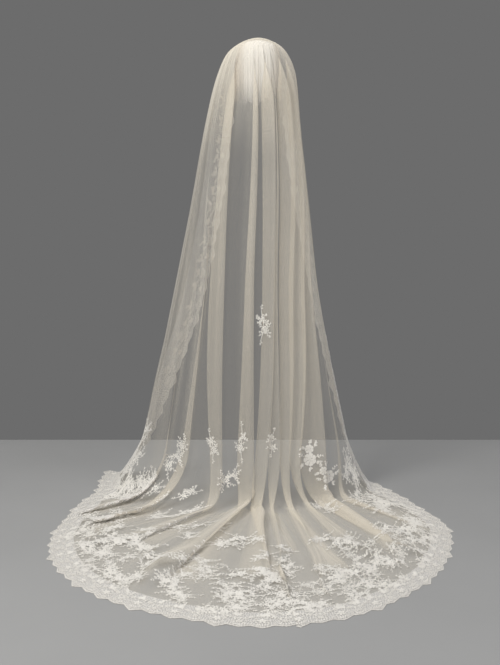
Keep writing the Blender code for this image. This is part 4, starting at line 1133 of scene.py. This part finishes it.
class VEIL_OT_lace_border(bpy.types.Operator):
    """Scalloped lace border up both edges and round the hem"""

    bl_idname = "veil.lace_border"
    bl_label = "Lace border"

    def execute(self, context):
        settings = context.scene.veil
        cloth = veil_cloth()
        start = int(np.argmin(np.abs(cloth.down[0] - LACE_START)))
        runs = {
            "left_edge": (cloth.down[0][cloth.seam_row], cloth.down[0][start]),
            "right_edge": (cloth.down[-1][cloth.seam_row], cloth.down[-1][start]),
            "hem": (cloth.over[-1, -1], 0.0),
        }
        floss, net, net_uv = Gathered(), Gathered(), []
        for name, (stop, begin) in runs.items():
            work = border_work(stop - begin, settings.tooth_pitch)
            flat = np.array(work.points)
            flat[:, 0] += begin
            flat[:, 2] += FLOSS_LIFT
            floss.add(self.laid(cloth, name, stop, flat, FLOSS_NARROWED), work.faces)
            flat, faces, uv = self.ground(begin, stop, settings.tooth_pitch)
            net.add(self.laid(cloth, name, stop, flat, 0.0), faces)
            net_uv += uv
        motifs = mesh_object("border_floss", floss.points, floss.faces, lace_material(settings))
        ground = mesh_object("border_net", net.points, net.faces, ground_material(settings), net_uv)
        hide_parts(*node_names("edge_lace_", "hem_lace_"))
        return {"FINISHED"}

    def laid(self, cloth, name, stop, flat, narrowed):
        """Points of the flat border laid on one run of edge, and drawn in to the width left for it."""
        if name == "hem":
            return cloth.hem_points(flat)
        right = name == "right_edge"
        band = cloth.over[-1] - cloth.over[-1 - SPANS_LACE] if right else cloth.over[SPANS_LACE]
        hanging = ramp(stop - flat[:, 0], HANG_START, HANG_REACH)
        width = np.interp(flat[:, 0], cloth.down[0], np.maximum(band, 0.01)) * (1 - narrowed * hanging)
        inward = flat[:, 1]
        teeth = inward * (1 - TEETH_NARROWED * hanging)
        flat[:, 1] = np.where(inward > 0, inward * width / LACE_WIDTH, teeth)
        return cloth.side_points(flat, right)

    def ground(self, begin, stop, pitch):
        """Net that the flowers are worked on, flat, out to the points of the teeth."""
        count = max(2, round((stop - begin) / pitch))
        fine = np.linspace(begin, stop, 8 * count + 1)
        share = (fine - begin) / (stop - begin) * count
        deep = np.array([tooth_depth(int(tooth)) for tooth in share])
        levels = (0.0, 0.16, 0.4, 0.6, 0.8, 1.0)
        flat, uv = [], []
        for along, out in zip(fine, -deep * tooth_share(share % 1)):
            for level in levels:
                inward = out * (1 - level) + (LACE_WIDTH + 0.002) * level
                flat.append((along, inward, NET_LIFT))
                uv.append((inward, along))
        return np.array(flat), grid_faces(len(fine), len(levels)), uv


def place_of(cloth, spray):
    """Column and row of the sheet's top layer at a place of the train given by x and y."""
    points = cloth.points
    near = np.hypot(points[:, :, 0] - spray.x, points[:, :, 1] - spray.other)
    # Of the points within 20 mm a higher one wins, and beyond that only the distance counts
    score = np.where(near < 0.02, near - 0.25 * (points[:, :, 2] + CROWN_HEIGHT), 9.0 + near)
    return np.unravel_index(int(np.argmin(score)), score.shape)


class VEIL_OT_sprays(bpy.types.Operator):
    """Raised flower sprays sewn on the fall and on the train"""

    bl_idname = "veil.sprays"
    bl_label = "Flower sprays"

    def execute(self, context):
        cloth = veil_cloth()
        material = lace_material(context.scene.veil)
        large = Gathered()
        for number, spray in enumerate(SPRAYS):
            turn = math.radians(spray.turn)
            if spray.node.startswith("rose"):
                work = rose_work(spray.length, turn)
            else:
                work = spray_work(spray.length, spray.width, turn, number % 3)
            if spray.where == "fall":
                laid = cloth.outside_points(spray.x, spray.other - CROWN_HEIGHT, np.array(work.points))
            else:
                column, row = place_of(cloth, spray)
                laid = self.laid(cloth, float(column), float(row), work)
            large.add(laid, work.faces)
        made = mesh_object("flower_sprays", large.points, large.faces, material)
        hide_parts(*node_names("spray_", "rose_"))
        for name, first, last in (("hem_sprays", 0, HEM_ROWS), ("train_sprays", HEM_ROWS, len(SPRAY_ROWS))):
            small = Gathered()
            for column, row, work in self.rows_of_sprays(cloth, first, last):
                small.add(self.laid(cloth, column, row, work), work.faces)
            mesh_object(name, small.points, small.faces, material)
        return {"FINISHED"}

    def rows_of_sprays(self, cloth, first, last):
        """Smaller sprays with their column and row, set along the hem and thinning out towards the fall."""
        hem = cloth.over[:, -1]
        for level in range(first, last):
            line = SPRAY_ROWS[level]
            for k in range(line.count):
                if (k * k + level) % LEFT_OUT_EVERY == LEFT_OUT:
                    continue
                part = (k + 0.5 + 0.34 * math.sin(2.7 * k + 1.9 * level)) / line.count
                share = line.start + (line.stop - line.start) * part
                column = float(np.interp(share * hem[-1], hem, cloth.columns))
                lengths = cloth.column_lengths(column)
                inward = line.from_hem * (1 + 0.16 * math.sin(1.9 * k + level))
                row = float(np.interp(lengths[-1] - inward, lengths, cloth.rows))
                size = 1 + 0.28 * math.sin(3.7 * k + 0.9 * level)
                turn = 1.15 * math.sin(2.1 * k + 1.3 * level) + (math.pi if (k + level) % 3 == 0 else 0.0)
                yield column, row, spray_work(line.length * size, line.width * size, turn, (k + level) % 3)

    def laid(self, cloth, column, row, work):
        """Points of one spray on the cloth, kept above the floor."""
        flat = np.array(work.points)
        flat[:, 2] += SPRAY_LIFT
        points = cloth.spray_points(column, row, flat)
        points[:, 2] = np.maximum(points[:, 2], SPRAY_CLEAR - CROWN_HEIGHT)
        return points


def crown_drop(x):
    """How much lower the heading and the tier lie at a distance from their middle."""
    return CROWN_DROOP * (x / HEADING_HALF) ** 2


class VEIL_OT_under_tier(bpy.types.Operator):
    """Short gathered under tier behind the head"""

    bl_idname = "veil.under_tier"
    bl_label = "Under tier"

    def execute(self, context):
        columns, rows = TIER_GRID
        angle = np.linspace(-TIER_SPREAD, TIER_SPREAD, columns)
        points = np.zeros((columns, rows, 3))
        uneven = 0.9 * np.cos(angle * 2.1 + 0.7) + 0.6 * np.cos(angle * 9.0)
        uneven += 0.5 * np.cos(angle * 23.0 + 1.0)
        for j in range(rows):
            down = j / (rows - 1)
            shape = math.sqrt(1 - (1 - min(1.0, down / TIER_ROUNDED)) ** 2)
            half = TIER_TOP_HALF + (TIER_HALF_WIDTH - TIER_TOP_HALF) * shape
            depth = TIER_TOP_DEPTH + (TIER_DEPTH - TIER_TOP_DEPTH) * shape
            # Three sizes of gather, the coarsest deepest at the free edge and the finest the same all the way
            wide = np.cos(angle * 21 + 1.4 * np.sin(angle * 3.1) + 1.1 * down)
            middling = np.cos(angle * 47 + 2.0 * np.sin(angle * 5.3 + 2.0 * down))
            fine = np.cos(angle * 83 + 1.7 * np.cos(angle * 7.1) - 1.4 * down)
            gather = 0.0030 * down**1.2 * wide + 0.0024 * down**0.8 * middling
            gather += 0.0011 * min(1.0, 4 * down) * fine
            height = TIER_TOP + (TIER_FOOT - TIER_TOP) * down**1.5
            drop = TIER_UNEVEN * max(0.0, down - 0.5) / 0.5
            points[:, j, 0] = (half + gather) * np.sin(angle)
            points[:, j, 1] = -(depth + gather) * np.cos(angle)
            rounded = crown_drop(TIER_TOP_HALF * np.sin(angle)) * (1 - down)
            points[:, j, 2] = height - drop * uneven - rounded - CROWN_HEIGHT
        made = mesh_object("gathered_under_tier", points.reshape(-1, 3), grid_faces(columns, rows),
                           tier_material(context.scene.veil))
        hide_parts("under_tier")
        return {"FINISHED"}


class VEIL_OT_heading(bpy.types.Operator):
    """Gathered heading where sheet and tier are bunched on the comb"""

    bl_idname = "veil.heading"
    bl_label = "Heading"

    def execute(self, context):
        rings, sides = HEADING_GRID
        points = []
        for i in range(rings):
            u = 0.985 * math.sin(math.pi * (i / (rings - 1) - 0.5))
            swell = math.sqrt(1 - u * u)
            for k in range(sides):
                turn = 2 * math.pi * k / sides
                tuck = 0.90 + 0.10 * math.cos(u * 95 + 0.9 * math.sin(turn) + math.sin(u * 17))
                y = HEADING_DEPTH * swell * tuck * math.cos(turn)
                z = HEADING_LEVEL - CROWN_HEIGHT + HEADING_HEIGHT * swell * tuck * math.sin(turn)
                points.append((u * HEADING_HALF, y, z - crown_drop(u * HEADING_HALF)))
        faces = []
        for i in range(rings - 1):
            for k in range(sides):
                n = (k + 1) % sides
                faces.append((i * sides + k, i * sides + n, (i + 1) * sides + n, (i + 1) * sides + k))
        faces += [tuple(range(sides))[::-1], tuple((rings - 1) * sides + k for k in range(sides))]
        faces = [face[::-1] for face in faces]
        made = mesh_object("gathered_heading", points, faces, heading_material(context.scene.veil))
        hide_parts("heading")
        return {"FINISHED"}


class VEIL_OT_comb(bpy.types.Operator):
    """Finish of the comb, which is the solid itself with its edges eased"""

    bl_idname = "veil.comb"
    bl_label = "Comb"

    def execute(self, context):
        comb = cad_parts["comb"]
        comb.data.materials.clear()
        comb.data.materials.append(comb_material(context.scene.veil))
        ease = comb.modifiers.new("eased edges", "BEVEL")
        ease.width = COMB_EASE
        ease.segments = 2
        ease.limit_method = "ANGLE"
        return {"FINISHED"}


class VEIL_OT_stage(bpy.types.Operator):
    """Plain floor, backdrop, soft light and the camera"""

    bl_idname = "veil.stage"
    bl_label = "Stage"

    def execute(self, context):
        settings = context.scene.veil
        mesh = bpy.data.meshes.new("floor")
        low = -CROWN_HEIGHT - 0.0002
        plan = ((-1, -FLOOR_REACH), (1, -FLOOR_REACH), (1, FLOOR_BACK), (-1, FLOOR_BACK))
        mesh.from_pydata([(side * FLOOR_REACH, y, low) for side, y in plan], [], [(0, 1, 2, 3)])
        mesh.materials.append(floor_material(settings))
        floor = bpy.data.objects.new("floor", mesh)
        context.scene.collection.objects.link(floor)
        for lamp in LAMPS:
            self.light(context, lamp)
        world = bpy.data.worlds.new("studio")
        world.use_nodes = True
        tree = world.node_tree
        shown = tree.nodes["Background"]
        shown.inputs["Color"].default_value = (*settings.backdrop, 1.0)
        fill = add_node(tree, "ShaderNodeBackground", {"Color": (1.0, 1.0, 1.0, 1.0), "Strength": ROOM_LIGHT})
        path = add_node(tree, "ShaderNodeLightPath")
        both = add_node(tree, "ShaderNodeMixShader",
                        {0: path.outputs["Is Camera Ray"], 1: fill.outputs[0], 2: shown.outputs[0]})
        tree.links.new(both.outputs[0], tree.nodes["World Output"].inputs[0])
        context.scene.world = world
        context.scene.view_settings.view_transform = "Standard"
        context.scene.cycles.transparent_max_bounces = 64
        camera = bpy.data.cameras.new("camera")
        camera.sensor_fit = "VERTICAL"
        camera.angle = FIELD_OF_VIEW
        seen = bpy.data.objects.new("camera", camera)
        seen.matrix_world = Matrix.Translation(EYE) @ Matrix.Rotation(math.pi / 2 - EYE_DOWN, 4, "X")
        context.scene.collection.objects.link(seen)
        context.scene.camera = seen
        return {"FINISHED"}

    def light(self, context, lamp):
        data = bpy.data.lights.new(lamp.name, "AREA")
        data.shape = "DISK"
        data.size = lamp.size
        data.energy = lamp.watts
        data.color = from_hex(lamp.colour)
        made = bpy.data.objects.new(lamp.name, data)
        aim = Vector(LIT_POINT) - Vector(lamp.at)
        made.matrix_world = Matrix.Translation(lamp.at) @ aim.to_track_quat("-Z", "Y").to_matrix().to_4x4()
        context.scene.collection.objects.link(made)


class VEIL_PT_panel(bpy.types.Panel):
    """The veil's pieces, in the order they are made"""

    bl_label = "Veil"
    bl_idname = "VEIL_PT_panel"
    bl_space_type = "VIEW_3D"
    bl_region_type = "UI"
    bl_category = "Veil"

    def draw(self, context):
        for name in VeilSettings.__annotations__:
            self.layout.prop(context.scene.veil, name)
        for operator in OPERATORS:
            self.layout.operator(operator.bl_idname)


OPERATORS = (
    VEIL_OT_tulle,
    VEIL_OT_lace_border,
    VEIL_OT_sprays,
    VEIL_OT_under_tier,
    VEIL_OT_heading,
    VEIL_OT_comb,
    VEIL_OT_stage,
)
CLASSES = (VeilSettings, *OPERATORS, VEIL_PT_panel)


def register():
    for item in CLASSES:
        bpy.utils.register_class(item)
    bpy.types.Scene.veil = PointerProperty(type=VeilSettings)


def unregister():
    del bpy.types.Scene.veil
    for item in reversed(CLASSES):
        bpy.utils.unregister_class(item)


def main():
    register()
    bpy.ops.veil.tulle()
    bpy.ops.veil.lace_border()
    bpy.ops.veil.sprays()
    bpy.ops.veil.under_tier()
    bpy.ops.veil.heading()
    bpy.ops.veil.comb()
    bpy.ops.veil.stage()


if __name__ == "__main__":
    main()
